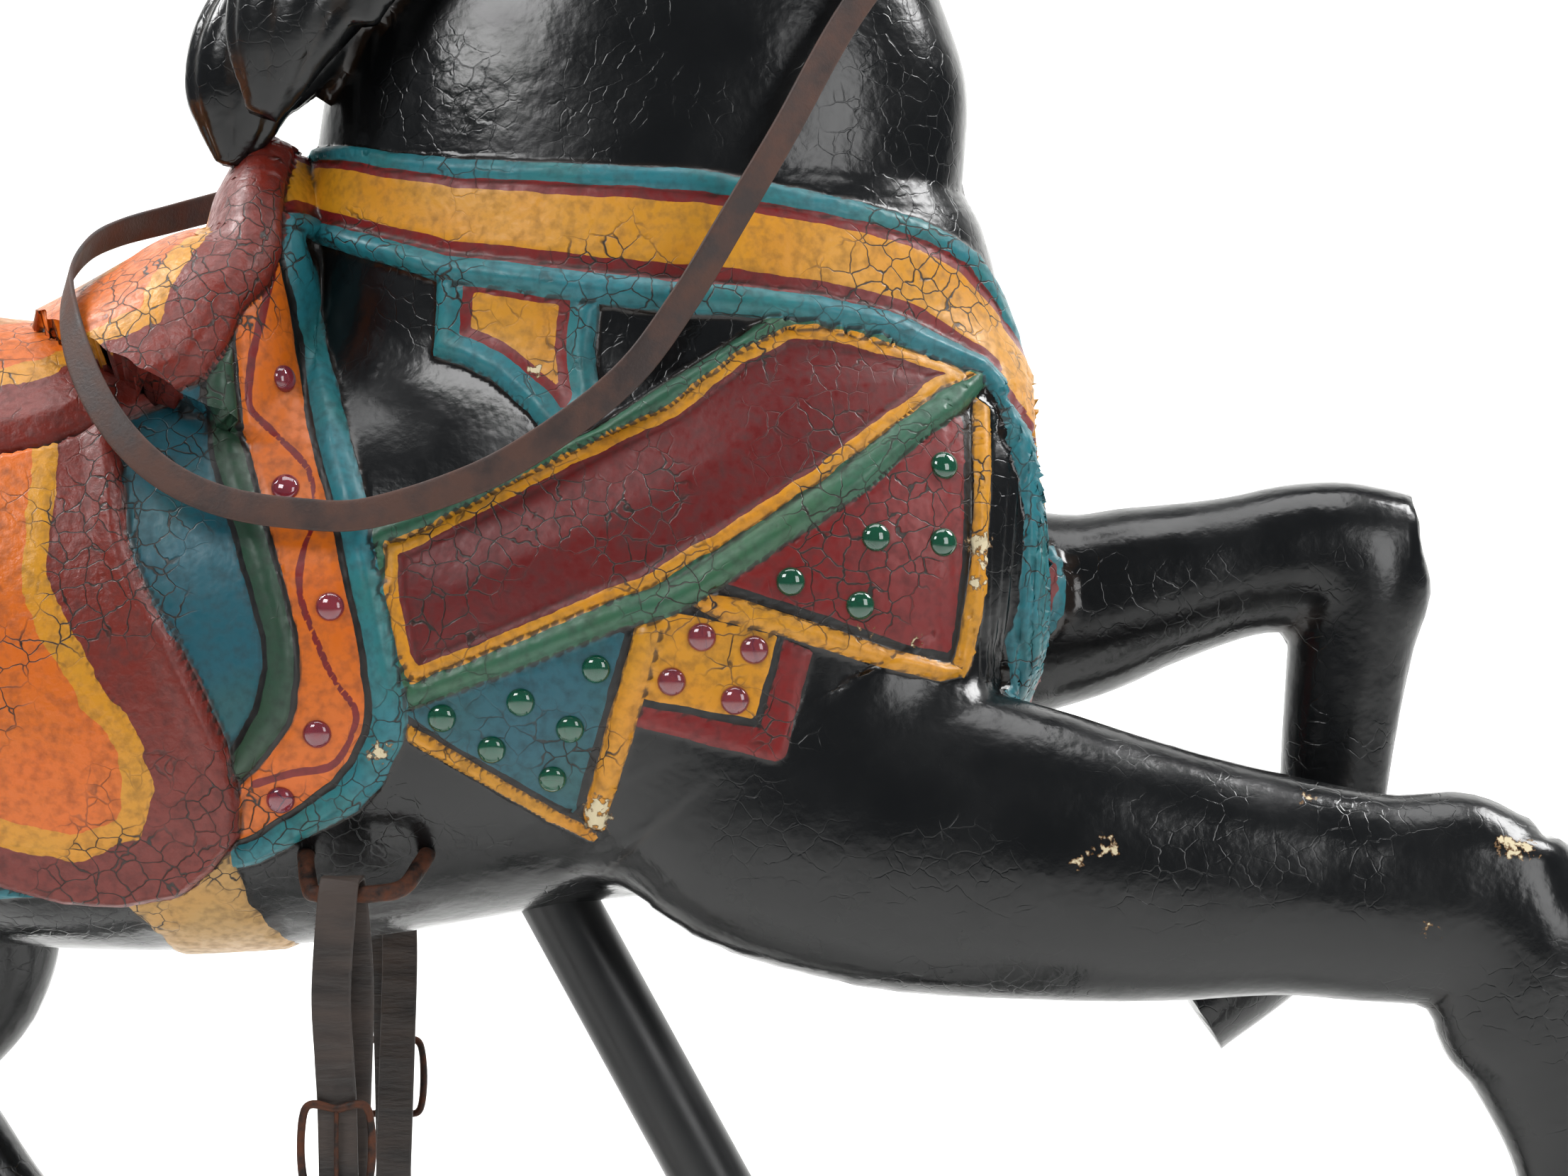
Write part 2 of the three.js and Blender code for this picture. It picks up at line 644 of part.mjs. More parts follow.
// The stirrup iron: a slotted head, an arch and a flat tread.
function iron(side) {
  const { width, height, rod, tread } = IRON;
  const [x, y] = [STAPLE.x - 12, side * hang];
  const floor = ironTop - 26 - height;
  const arch = wire(
    [
      [-0.46, 0],
      [-0.5, 0.3],
      [-0.36, 0.72],
      [0, 1],
      [0.36, 0.72],
      [0.5, 0.3],
      [0.46, 0],
    ].map(([a, b]) => [x + a * width, y, floor + b * height]),
    rod,
    5,
    10,
  );
  const slot = [
    bar([x - 19, y, ironTop], [x + 19, y, ironTop], rod, 5),
    bar([x - 19, y, ironTop + 3], [x - 15, y, ironTop - 34], rod, 5),
    bar([x + 19, y, ironTop + 3], [x + 15, y, ironTop - 34], rod, 5),
  ];
  return joinAll([arch, ...slot, box(x, y, floor, [width, tread, 9])]);
}

// The screw ring beside the mouth that holds a rein end, and the shank that it has in the wood.
const ringShank = (side, grow = 0) => {
  const { x, z, out, ring, wire: thick } = EYE_RING;
  return bar([x, side * (out - ring), z], [x, side * (22 - grow), z], thick + grow, 6);
};

function reinRing(side) {
  const { x, z, out, ring, wire: thick } = EYE_RING;
  const hoop = new THREE.TorusGeometry(ring, thick, 5, 10);
  hoop.rotateY(Math.PI / 2);
  hoop.translate(x, side * out, z);
  return solidOf(hoop).add(ringShank(side));
}

// ---- Assembly --------------------------------------------------------------------------------

const cuts = [
  tube(1, GAP),
  tube(-1, GAP),
  ...jewelSets.map(({ at }) => jewelSeat(at)),
  ...[-1, 1].flatMap((side) => [stapleHollow(side), staple(side, GAP), ringShank(side, GAP)]),
];
const horse = cuts.reduce((left, cut) => left.subtract(cut), carving);

const group = new THREE.Group();

function addPart(name, solid, color, roughness, metalness = 0) {
  const material = new THREE.MeshStandardMaterial({ color, roughness, metalness });
  const mesh = new THREE.Mesh(geometryOf(solid), material);
  mesh.name = name;
  group.add(mesh);
}

addPart("horse", horse, 0x17181a, 0.3);
addPart("stand", stand(), 0x0b0b0c, 0.45, 0.2);
addPart("rein", strap(REIN_ROUTE, REIN.width, REIN.thick, 38), 0x3a2a24, 0.7);
for (const [side, place] of [[-1, "near"], [1, "far"]]) {
  addPart(`rein_ring_${place}`, reinRing(side), 0x3b2a22, 0.5, 0.8);
  addPart(`stirrup_staple_${place}`, staple(side), 0x3b2a22, 0.5, 0.8);
  addPart(`stirrup_leather_${place}`, leather(side), 0x2e2724, 0.7);
  addPart(`stirrup_buckle_${place}`, buckle(side), 0x3b2a22, 0.5, 0.8);
  addPart(`stirrup_iron_${place}`, iron(side), 0x3b2a22, 0.5, 0.8);
}
for (const { name, colour, at } of jewelSets) addPart(name, jewel(at), colour, 0.05);

export default group;
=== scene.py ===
import json
import logging
from collections.abc import Sequence
from dataclasses import dataclass, field
from enum import Enum

import bmesh
import bpy
import numpy as np
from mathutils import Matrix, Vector

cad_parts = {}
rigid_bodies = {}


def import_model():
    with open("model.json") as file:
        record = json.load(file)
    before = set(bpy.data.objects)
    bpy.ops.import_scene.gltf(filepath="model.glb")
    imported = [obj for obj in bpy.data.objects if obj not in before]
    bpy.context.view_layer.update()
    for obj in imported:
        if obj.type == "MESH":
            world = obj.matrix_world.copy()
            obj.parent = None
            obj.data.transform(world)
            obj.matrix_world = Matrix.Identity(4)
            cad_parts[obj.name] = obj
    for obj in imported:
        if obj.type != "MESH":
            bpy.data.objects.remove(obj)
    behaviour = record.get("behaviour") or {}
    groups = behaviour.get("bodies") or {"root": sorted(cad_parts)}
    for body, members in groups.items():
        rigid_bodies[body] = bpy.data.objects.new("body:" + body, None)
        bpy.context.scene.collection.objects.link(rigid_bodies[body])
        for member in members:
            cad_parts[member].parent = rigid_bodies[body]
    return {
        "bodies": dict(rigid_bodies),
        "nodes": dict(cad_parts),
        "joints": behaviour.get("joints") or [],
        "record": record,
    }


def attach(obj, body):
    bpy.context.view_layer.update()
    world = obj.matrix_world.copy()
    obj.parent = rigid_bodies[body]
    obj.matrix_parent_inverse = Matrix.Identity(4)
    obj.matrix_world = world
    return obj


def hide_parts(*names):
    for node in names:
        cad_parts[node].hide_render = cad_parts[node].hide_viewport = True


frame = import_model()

# The looks of a carved and painted carousel horse: glossy black enamel, crackled and chipped trappings,
# glass jewels, a leather rein, stirrups and a satin steel stand. Lengths are in millimetres up to the
# point where a mesh is made, and +X is the way the horse faces. The dressed side is -Y.

LOG = logging.getLogger("carousel_horse")
MM = 0.001
NEAR, FAR = -1, 1
ACROSS = np.array([0.0, 1.0, 0.0])

Rows = tuple[tuple[float, ...], ...]


# ---- Small helpers ---------------------------------------------------------------------------


def linear(code: str) -> tuple[float, float, float, float]:
    """Turns an sRGB hex value into linear colour.

    Args:
        code: six hex digits.

    Returns:
        Linear red, green, blue and an alpha of one.
    """
    parts = np.array([int(code[i : i + 2], 16) for i in (0, 2, 4)]) / 255
    curve = np.where(parts <= 0.04045, parts / 12.92, ((parts + 0.055) / 1.055) ** 2.4)
    return (*(float(part) for part in curve), 1.0)


def node(tree: bpy.types.NodeTree, kind: str, settings: dict, links: dict) -> bpy.types.Node:
    """Adds a node with its settings and its links.

    Args:
        tree: the node tree.
        kind: the node's type name.
        settings: attributes to set; "stops" fills a colour ramp with (place, colour) pairs.
        links: input name or number to a value, or to the socket that feeds it.

    Returns:
        The new node.
    """
    made = tree.nodes.new(kind)
    for key, value in settings.items():
        if key == "stops":
            elements = made.color_ramp.elements
            while len(elements) < len(value):
                elements.new(1.0)
            for element, (place, colour) in zip(elements, value):
                element.position = place
                element.color = colour
        elif key == "interpolation" and hasattr(made, "color_ramp"):
            made.color_ramp.interpolation = value
        else:
            setattr(made, key, value)
    for key, value in links.items():
        if isinstance(value, bpy.types.NodeSocket):
            tree.links.new(value, made.inputs[key])
        else:
            made.inputs[key].default_value = value
    return made


def new_material(name: str) -> tuple[bpy.types.Material, bpy.types.NodeTree, bpy.types.Node]:
    """Makes an empty material with its Principled shader.

    Args:
        name: the finish's name.

    Returns:
        The material, its tree and its shader.
    """
    material = bpy.data.materials.new(name)
    material.use_nodes = True
    tree = material.node_tree
    return material, tree, tree.nodes["Principled BSDF"]


def spline(rows: np.ndarray, t: np.ndarray, closed: bool = False) -> np.ndarray:
    """Gives points of the smooth curve through the rows.

    Cubic Hermite pieces whose slope at a row is half the step between its two neighbours.

    Args:
        rows: one point to a row.
        t: places along the curve, 0 to 1.
        closed: whether the curve runs back to its first row.

    Returns:
        One row for each t.
    """
    rows = np.asarray(rows, float)
    if closed:
        padded = np.vstack([rows[-1], rows, rows[0], rows[1]])
        pieces = len(rows)
    else:
        padded = np.vstack([2 * rows[0] - rows[1], rows, 2 * rows[-1] - rows[-2]])
        pieces = len(rows) - 1
    at = np.clip(t, 0, 1) * pieces
    start = np.minimum(at.astype(int), pieces - 1)
    u = (at - start)[:, None]
    before, a, b, after = (padded[start + shift] for shift in range(4))
    slope_a, slope_b = (b - before) / 2, (after - a) / 2
    cubic = (2 * u**3 - 3 * u**2 + 1) * a + (u**3 - 2 * u**2 + u) * slope_a
    return cubic + (3 * u**2 - 2 * u**3) * b + (u**3 - u**2) * slope_b


def unit(vectors: np.ndarray) -> np.ndarray:
    """Scales each row to length one."""
    return vectors / np.maximum(np.linalg.norm(vectors, axis=-1, keepdims=True), 1e-9)


def soft_min(a: np.ndarray, b: np.ndarray, blend: float) -> np.ndarray:
    """Joins two distances with a fillet: min(a, b) - h^2 blend / 4, h = how near they are, 0 to 1."""
    h = np.clip(1 - np.abs(a - b) / blend, 0, 1)
    return np.minimum(a, b) - h * h * blend / 4


def put_mesh(name: str, points_mm: np.ndarray, faces: Sequence, smooth: bool = True) -> bpy.types.Object:
    """Makes an object at the origin from points in millimetres.

    Args:
        name: the piece's name.
        points_mm: one vertex to a row.
        faces: vertex numbers of each face.
        smooth: whether it is shaded smooth.

    Returns:
        The object, linked into the scene.
    """
    mesh = bpy.data.meshes.new(name)
    mesh.from_pydata((np.asarray(points_mm) * MM).tolist(), [], [list(map(int, face)) for face in faces])
    mesh.polygons.foreach_set("use_smooth", np.full(len(mesh.polygons), smooth))
    mesh.update()
    piece = bpy.data.objects.new(name, mesh)
    bpy.context.scene.collection.objects.link(piece)
    return piece


def grid_faces(rings: int, sides: int, closed: bool = False, first: int = 0) -> np.ndarray:
    """Gives the quads between rings of vertices, each ring joined round.

    Args:
        rings: how many rings.
        sides: vertices in a ring.
        closed: whether the last ring joins the first.
        first: number of the first vertex.

    Returns:
        One quad to a row.
    """
    ring = np.arange(rings if closed else rings - 1)[:, None]
    side = np.arange(sides)[None, :]
    near, far = ring * sides, (ring + 1) % rings * sides
    right = (side + 1) % sides
    quads = np.stack([near + side, near + right, far + right, far + side], -1)
    return quads.reshape(-1, 4) + first


def capped(rings: np.ndarray, closed: bool = False, first: int = 0) -> tuple[np.ndarray, list]:
    """Closes a tube of rings with a fan at each end.

    Args:
        rings: array of rings, sides and coordinates.
        closed: whether the tube runs back into itself.
        first: number of the first vertex.

    Returns:
        The points and the faces.
    """
    count, sides, _ = rings.shape
    points = rings.reshape(-1, 3)
    faces = grid_faces(count, sides, closed, first).tolist()
    if not closed:
        points = np.vstack([points, rings[0].mean(0), rings[-1].mean(0)])
        side = np.arange(sides)
        nxt = (side + 1) % sides
        low, high = first + count * sides, first + count * sides + 1
        last = first + (count - 1) * sides
        faces += np.stack([nxt + first, side + first, np.full(sides, low)], -1).tolist()
        faces += np.stack([side + last, nxt + last, np.full(sides, high)], -1).tolist()
    return points, faces


def outward(piece: bpy.types.Object, merge: float = 0.0) -> bpy.types.Object:
    """Turns a closed piece's faces outwards, after merging vertices nearer than merge metres."""
    work = bmesh.new()
    work.from_mesh(piece.data)
    if merge:
        bmesh.ops.remove_doubles(work, verts=work.verts, dist=merge)
    bmesh.ops.recalc_face_normals(work, faces=work.faces)
    work.to_mesh(piece.data)
    work.free()
    return piece


def polygon_inset(outline: Sequence[Sequence[float]], at: np.ndarray) -> np.ndarray:
    """Measures how far points lie inside an outline: distance to its nearest edge, minus outside.

    Args:
        outline: corners, x and z.
        at: points, x and z.

    Returns:
        The distance of each point, negative outside.
    """
    corners = np.asarray(outline, float)
    nearest = np.full(len(at), np.inf)
    inside = np.zeros(len(at), bool)
    for a, b in zip(corners, np.roll(corners, -1, 0)):
        edge = b - a
        rel = at - a
        s = np.clip(rel @ edge / (edge @ edge), 0, 1)
        nearest = np.minimum(nearest, np.hypot(*(rel - s[:, None] * edge).T))
        spans = (a[1] > at[:, 1]) != (b[1] > at[:, 1])
        if a[1] != b[1]:
            crossing = a[0] + (at[:, 1] - a[1]) * (b[0] - a[0]) / (b[1] - a[1])
            inside ^= spans & (at[:, 0] < crossing)
    return np.where(inside, nearest, -nearest)


def line_distance(line: np.ndarray, at: np.ndarray) -> np.ndarray:
    """Distance of points from an open line of points, in the same plane or space."""
    nearest = np.full(len(at), np.inf)
    for a, b in zip(line[:-1], line[1:]):
        edge = b - a
        rel = at - a
        s = np.clip(rel @ edge / max(edge @ edge, 1e-9), 0, 1)
        nearest = np.minimum(nearest, np.linalg.norm(rel - s[:, None] * edge, axis=1))
    return nearest


# ---- The carved forms, as distances ----------------------------------------------------------


@dataclass
class Limb:
    """A form with oval sections along a smooth line.

    Each row is x, y and z of a section's middle, half its depth in the horse's middle plane and half
    its width across. grooves are (count, depth, turns): strands cut along it.
    """

    rows: Rows
    blend: float = 12.0
    grooves: tuple[float, float, float] = (0, 0, 0)
    cells: np.ndarray = field(init=False)

    def __post_init__(self) -> None:
        """Keeps the rows as an array and samples the middle line."""
        self.cells = np.asarray(self.rows, float)
        self.t = np.linspace(0, 1, 5 * len(self.cells))
        self.line = spline(self.cells, self.t)[:, :3]
        reach = self.cells[:, 3:].max() + 60
        self.low = self.cells[:, :3].min(0) - reach
        self.high = self.cells[:, :3].max(0) + reach

    def frames(self, t: np.ndarray) -> tuple[np.ndarray, np.ndarray, np.ndarray]:
        """Gives sections at places t.

        Args:
            t: places along the limb, 0 to 1.

        Returns:
            The rows there, the directions along the limb, and the directions of its depth.
        """
        step = 1e-3
        rows = spline(self.cells, t)
        ahead, behind = (spline(self.cells, np.clip(t + way, 0, 1))[:, :3] for way in (step, -step))
        along = ahead - behind
        along[:, 1] = 0
        along = unit(along)
        return rows, along, np.cross(ACROSS, along)

    def rough(self, rings: int, sides: int) -> tuple[np.ndarray, list]:
        """Gives a closed mesh: middle + depth a cos k + across b sin k, ring after ring."""
        rows, _, deep = self.frames(np.linspace(0, 1, rings))
        angle = np.linspace(0, 2 * np.pi, sides, endpoint=False)
        a, b = np.maximum(rows[:, 3], 3), np.maximum(rows[:, 4], 3)
        shape = (
            rows[:, None, :3]
            + deep[:, None] * (a[:, None] * np.cos(angle))[..., None]
            + ACROSS * (b[:, None] * np.sin(angle))[..., None]
        )
        return capped(shape)

    def distance(self, points: np.ndarray) -> np.ndarray:
        """Distance of points from the form, negative inside.

        In the section through the point it is q - q / r, with q the distance from the middle and r
        the oval radius sqrt((u/a)^2 + (v/b)^2); past an end the distance to the flat end joins it.

        Args:
            points: one point to a row.

        Returns:
            One distance to a point; far points get a large value.
        """
        result = np.full(len(points), 400.0)
        close = np.all((points > self.low) & (points < self.high), 1)
        if not close.any():
            return result
        p = points[close]
        gaps = np.stack([((p - sample) ** 2).sum(1) for sample in self.line])
        t = self.t[gaps.argmin(0)]
        length = np.linalg.norm(np.diff(self.line, axis=0), axis=1).sum()
        for _ in range(3):
            rows, along, deep = self.frames(t)
            t = np.clip(t + ((p - rows[:, :3]) * along).sum(1) / length * 0.8, 0, 1)
        rows, along, deep = self.frames(t)
        rel = p - rows[:, :3]
        u, v = (rel * deep).sum(1), rel[:, 1]
        a, b = np.maximum(rows[:, 3], 3), np.maximum(rows[:, 4], 3)
        q = np.maximum(np.hypot(u, v), 1e-6)
        r = np.maximum(np.hypot(u / a, v / b), 1e-3)
        d = q - q / r
        count, depth, turns = self.grooves
        if count:
            phase = count * np.arctan2(v / b, u / a) + 2 * np.pi * turns * t
            fade = np.sin(np.pi * np.clip(t, 0, 1)) ** 0.5
            d = d + depth * fade * (1 - np.abs(np.sin(phase / 2))) ** 1.6
        past = (rel * along).sum(1)
        past = np.where(t <= 0, -past, past)
        beyond = ((t <= 0) | (t >= 1)) & (past > 0)
        d = np.where(beyond, np.where(d > 0, np.hypot(np.maximum(d, 0), past), past), d)
        result[close] = d
        return result


def lock(path: Rows, radius: float, blend: float = 5.0, grooves: tuple = (7, 4.5, 0.8)) -> Limb:
    """Makes a tapered lock of hair: half-depth radius sin(pi(0.16 + 0.8t))^0.8, width 0.62 of it."""
    t = np.linspace(0, 1, 9)
    fat = radius * np.maximum(0.12, np.sin(np.pi * (0.16 + 0.8 * t)) ** 0.8)
    rows = np.column_stack([spline(path, t), fat, 0.62 * fat])
    return Limb(tuple(map(tuple, rows)), blend, grooves)


@dataclass
class Carving:
    """The horse's form: every limb, lock and saddle part, with the softness of each join."""

    torso: Rows = (
        (-452, 0, 838, 62, 52),
        (-425, 0, 836, 122, 100),
        (-350, 0, 820, 178, 142),
        (-230, 0, 790, 196, 152),
        (-80, 0, 767, 203, 155),
        (80, 0, 768, 201, 157),
        (240, 0, 789, 197, 158),
        (380, 0, 806, 200, 156),
        (470, 0, 818, 190, 146),
        (530, 0, 822, 158, 122),
        (565, 0, 820, 106, 84),
        (578, 0, 820, 50, 40),
    )
    neck: Rows = (
        (347, 0, 860, 221, 116),
        (334, 0, 920, 230, 122),
        (315, 0, 1000, 231, 122),
        (309, 0, 1080, 219, 112),
        (322, 0, 1172, 210, 102),
        (334, 0, 1250, 172, 90),
        (346, 0, 1330, 132, 78),
        (364, 0, 1410, 106, 70),
        (388, 0, 1480, 84, 62),
        (404, 0, 1536, 62, 52),
    )
    head: Rows = (
        (394, 0, 1580, 44, 42),
        (418, 0, 1540, 80, 60),
        (452, 0, 1488, 94, 65),
        (498, 0, 1430, 76, 52),
        (548, 0, 1368, 55, 41),
        (588, 0, 1318, 48, 40),
        (613, 0, 1287, 41, 37),
        (626, 0, 1270, 20, 20),
    )
    jaw: Rows = (
        (404, 0, 1462, 34, 38),
        (444, 0, 1432, 58, 48),
        (494, 0, 1380, 40, 36),
        (546, 0, 1322, 26, 28),
    )
    near_foreleg: tuple[Rows, Rows] = (
        (
            (382, -74, 770, 96, 62),
            (400, -84, 700, 128, 70),
            (470, -98, 654, 108, 68),
            (579, -108, 632, 93, 62),
            (654, -111, 621, 82, 55),
            (728, -112, 614, 71, 48),
            (792, -113, 606, 67, 44),
            (848, -114, 606, 68, 43),
            (890, -114, 606, 50, 34),
        ),
        (
            (872, -114, 640, 36, 34),
            (882, -114, 582, 60, 43),
            (890, -114, 533, 65, 40),
            (900, -113, 496, 51, 36),
            (912, -112, 440, 36, 29),
            (922, -111, 380, 35, 27),
            (938, -110, 326, 40, 33),
            (950, -110, 290, 34, 30),
            (958, -110, 266, 40, 38),
            (972, -110, 222, 54, 48),
        ),
    )
    far_foreleg: tuple[Rows, Rows] = (
        (
            (410, 74, 800, 96, 60),
            (470, 92, 786, 96, 62),
            (595, 105, 791, 69, 54),
            (659, 106, 806, 58, 48),
            (721, 107, 820, 50, 42),
            (766, 108, 828, 51, 40),
            (806, 109, 834, 47, 38),
            (851, 109, 838, 34, 28),
        ),
        (
            (822, 109, 856, 24, 24),
            (814, 109, 815, 48, 38),
            (805, 109, 765, 44, 36),
            (797, 108, 705, 40, 31),
            (790, 106, 640, 37, 27),
            (784, 106, 604, 40, 31),
            (770, 106, 572, 34, 29),
            (742, 106, 548, 36, 36),
            (691, 106, 514, 39, 44),
        ),
    )
    far_hind_leg: tuple[Rows, Rows] = (
        (
            (-330, 70, 850, 130, 76),
            (-280, 84, 760, 148, 80),
            (-226, 96, 668, 122, 70),
            (-196, 102, 590, 96, 58),
            (-192, 104, 532, 80, 46),
            (-212, 104, 466, 46, 36),
        ),
        (
            (-226, 104, 482, 30, 30),
            (-206, 104, 446, 46, 37),
            (-176, 104, 412, 40, 33),
            (-138, 104, 368, 33, 28),
            (-96, 104, 314, 38, 32),
            (-74, 104, 284, 32, 29),
            (-58, 104, 262, 38, 37),
            (-26, 104, 222, 50, 47),
        ),
    )
    near_hind_leg: tuple[Rows, Rows] = (
        (
            (-330, -70, 850, 130, 76),
            (-316, -84, 764, 148, 80),
            (-330, -96, 676, 120, 70),
            (-384, -102, 610, 84, 56),
            (-440, -104, 566, 58, 44),
            (-488, -104, 528, 44, 36),
        ),
        (
            (-492, -104, 548, 30, 30),
            (-502, -104, 508, 46, 37),
            (-520, -104, 454, 38, 31),
            (-544, -104, 396, 33, 27),
            (-566, -104, 346, 39, 32),
            (-582, -104, 318, 32, 29),
            (-596, -104, 296, 38, 37),
            (-626, -104, 252, 50, 46),
        ),
    )
    tail: Rows = (
        (-424, 0, 930, 34, 34),
        (-478, 0, 952, 38, 36),
        (-536, 0, 922, 46, 42),
        (-576, 0, 850, 50, 44),
        (-592, 0, 760, 46, 40),
        (-610, 0, 680, 34, 30),
        (-640, 0, 624, 12, 12),
    )
    pommel: Rows = (
        (14, 0, 930, 116, 140),
        (40, 0, 985, 70, 122),
        (60, 0, 1022, 38, 96),
        (66, 0, 1062, 30, 68),
        (68, 0, 1094, 16, 34),
    )
    cantle: Rows = (
        (-262, 0, 930, 70, 142),
        (-284, 0, 990, 50, 132),
        (-310, 0, 1034, 30, 112),
        (-322, 0, 1062, 16, 82),
        (-326, 0, 1072, 6, 40),
    )
    mane: tuple = (
        (((392, -14, 1578), (356, -48, 1540), (318, -70, 1452), (326, -74, 1372)), 34),
        (((350, -12, 1540), (300, -54, 1496), (262, -82, 1400), (262, -88, 1316)), 38),
        (((300, -10, 1490), (240, -58, 1430), (202, -92, 1330), (196, -96, 1246)), 42),
        (((246, -8, 1416), (186, -58, 1352), (146, -98, 1250), (134, -100, 1170)), 46),
        (((204, -6, 1330), (140, -52, 1272), (86, -86, 1184), (66, -84, 1112)), 52),
        (((178, 0, 1262), (116, -22, 1226), (54, -44, 1152), (40, -46, 1086)), 54),
        (((246, 8, 1416), (188, 44, 1360), (146, 74, 1270), (128, 84, 1190)), 40),
        (((330, 12, 1520), (278, 48, 1472), (242, 74, 1372), (236, 82, 1290)), 36),
    )
    tail_locks: tuple = (
        (((-470, -22, 950), (-540, -34, 900), (-584, -34, 800), (-600, -26, 700)), 34),
        (((-470, 22, 950), (-536, 36, 890), (-574, 34, 790), (-584, 26, 690)), 32),
    )
    ears: tuple = (
        ((390, 24, 1574), (392, 32, 1616), (408, 38, 1660)),
        ((390, -24, 1574), (392, -32, 1616), (408, -38, 1660)),
    )

    def __post_init__(self) -> None:
        """Turns the rows into forms, each group with how softly it joins what it grows out of."""
        self.trunk = [Limb(self.torso), Limb(self.neck, 40)]
        self.saddle = [Limb(self.pommel, 14), Limb(self.cantle, 14)]
        self.limbs = [Limb(self.head, 14), Limb(self.jaw, 16)]
        legs = (self.near_foreleg, self.far_foreleg, self.far_hind_leg, self.near_hind_leg)
        for upper, lower in legs:
            self.limbs += [Limb(upper, 34), Limb(lower, 12)]
        self.limbs += [lock(path, 20, 6, (0, 0, 0)) for path in self.ears]
        self.hair = [lock(path, radius) for path, radius in self.mane]
        self.tail_hair = [Limb(self.tail, 12, (9, 4.0, 1.5))]
        self.tail_hair += [lock(path, radius) for path, radius in self.tail_locks]

    def bare(self, points: np.ndarray) -> np.ndarray:
        """Distance from the horse without its hair."""
        d = np.full(len(points), 400.0)
        for limb in self.trunk + self.saddle + self.limbs:
            d = soft_min(d, limb.distance(points), limb.blend)
        return d

    def locks(self, points: np.ndarray) -> np.ndarray:
        """Distance from the mane and the tail."""
        d = np.full(len(points), 400.0)
        for limb in self.hair + self.tail_hair:
            d = soft_min(d, limb.distance(points), limb.blend)
        return d

    def distance(self, points: np.ndarray) -> np.ndarray:
        """Distance from the whole carving."""
        return soft_min(self.bare(points), self.locks(points), 7.0)

    def settle(self, points: np.ndarray, rounds: int) -> tuple[np.ndarray, np.ndarray]:
        """Moves points onto the carved surface: p - d n / |n|^2, with n the slope of the distance.

        Args:
            points: one point to a row.
            rounds: how many times.

        Returns:
            The moved points and the outward directions there.
        """
        step = 0.6
        for _ in range(rounds):
            d = self.distance(points)
            slope = np.stack(
                [(self.distance(points + step * axis) - d) / step for axis in np.eye(3)],
                1,
            )
            size = np.maximum((slope**2).sum(1, keepdims=True), 0.15)
            points = points - np.clip(d, -12, 12)[:, None] * slope / size
        return points, unit(slope)

    def rough_mesh(self) -> bpy.types.Object:
        """Joins the forms as they are, overlapping, for the remesh to fuse."""
        points, faces, first = [], [], 0
        for limb in self.trunk + self.saddle + self.limbs + self.hair + self.tail_hair:
            some, more = limb.rough(6 * len(limb.cells), 40)
            points.append(some)
            faces += [[number + first for number in face] for face in more]
            first += len(some)
        return put_mesh("rough_horse", np.vstack(points), faces)


# ---- Trappings: outlines and paint -----------------------------------------------------------


class Pigment(Enum):
    """The painter's colours, as sRGB hex."""

    BLACK = "08090a"
    TEAL = "1f6a74"
    DEEP_TEAL = "144f5c"
    RED = "6e1414"
    SASH_RED = "5a0d0d"
    OCHRE = "c08418"
    PALE_OCHRE = "b08a50"
    ORANGE = "c4600c"
    GREEN = "1f3d2c"
    SASH_GREEN = "2d5a45"
    SADDLE_RED = "6a1f14"
    SEAT_TAN = "b0702c"


@dataclass(frozen=True)
class Zone:
    """A painted zone of the carving.

    attribute holds, for each vertex, how far it is inside the zone in millimetres, or the place
    across a band from 0 to 1. stops are the colours from each such value on. relief rows are
    (value, height in millimetres) of the carved section.
    """

    attribute: str
    stops: tuple[tuple[float, Pigment], ...]
    relief: tuple[tuple[float, float], ...]
    top: float = 60.0
    low: float = 0.0
    wobble: float = 1.6


# Outlines in the middle plane, x and z, of everything painted and carved proud.
SEAT = (
    (80, 1140), (77, 1066), (77, 1022), (70, 1000), (57, 983), (49, 959), (37, 939), (16, 928), (-24, 910),
    (-67, 892), (-97, 886), (-200, 878), (-300, 895), (-350, 955), (-352, 1140),
)  # fmt: skip
FLAP = (
    (-23, 902), (-17, 881), (-11, 841), (2, 806), (21, 776), (41, 736), (54, 706), (61, 670), (58, 648),
    (40, 627), (17, 609), (-22, 602), (-60, 604), (-102, 616), (-150, 640), (-196, 700), (-206, 780),
    (-196, 960), (-20, 960),
)  # fmt: skip
FLAP_PANEL = (
    (-57, 910), (-58, 856), (-59, 813), (-48, 784), (-28, 751), (-9, 726), (1, 711), (6, 681), (1, 666),
    (-6, 650), (-48, 635), (-97, 645), (-140, 668), (-172, 712), (-180, 790), (-172, 930), (-57, 930),
)  # fmt: skip
BLANKET = (
    (89, 1100), (89, 1034), (97, 1004), (106, 965), (125, 912), (141, 861), (156, 791), (168, 735),
    (168, 722), (164, 706), (151, 681), (133, 663), (104, 648), (68, 629), (39, 622), (0, 612),
    (-102, 605), (-250, 640), (-330, 720), (-372, 900), (-360, 1100),
)  # fmt: skip
BLANKET_FIELD = (
    (34, 1100), (33, 931), (35, 897), (47, 861), (64, 811), (75, 774), (76, 756), (69, 729), (54, 703),
    (40, 690), (10, 680), (-60, 672), (-100, 670), (-230, 690), (-300, 750), (-340, 900), (-330, 1100),
)  # fmt: skip
UNDER_COLLAR = (
    (40, 1104), (85, 1102), (121, 1098), (149, 1091), (202, 1084), (254, 1081), (355, 1076), (396, 1068),
    (457, 1057), (498, 1047), (519, 1038), (535, 1028), (546, 1012), (566, 985), (580, 975), (620, 960),
    (760, 900), (760, 300), (40, 300),
)  # fmt: skip
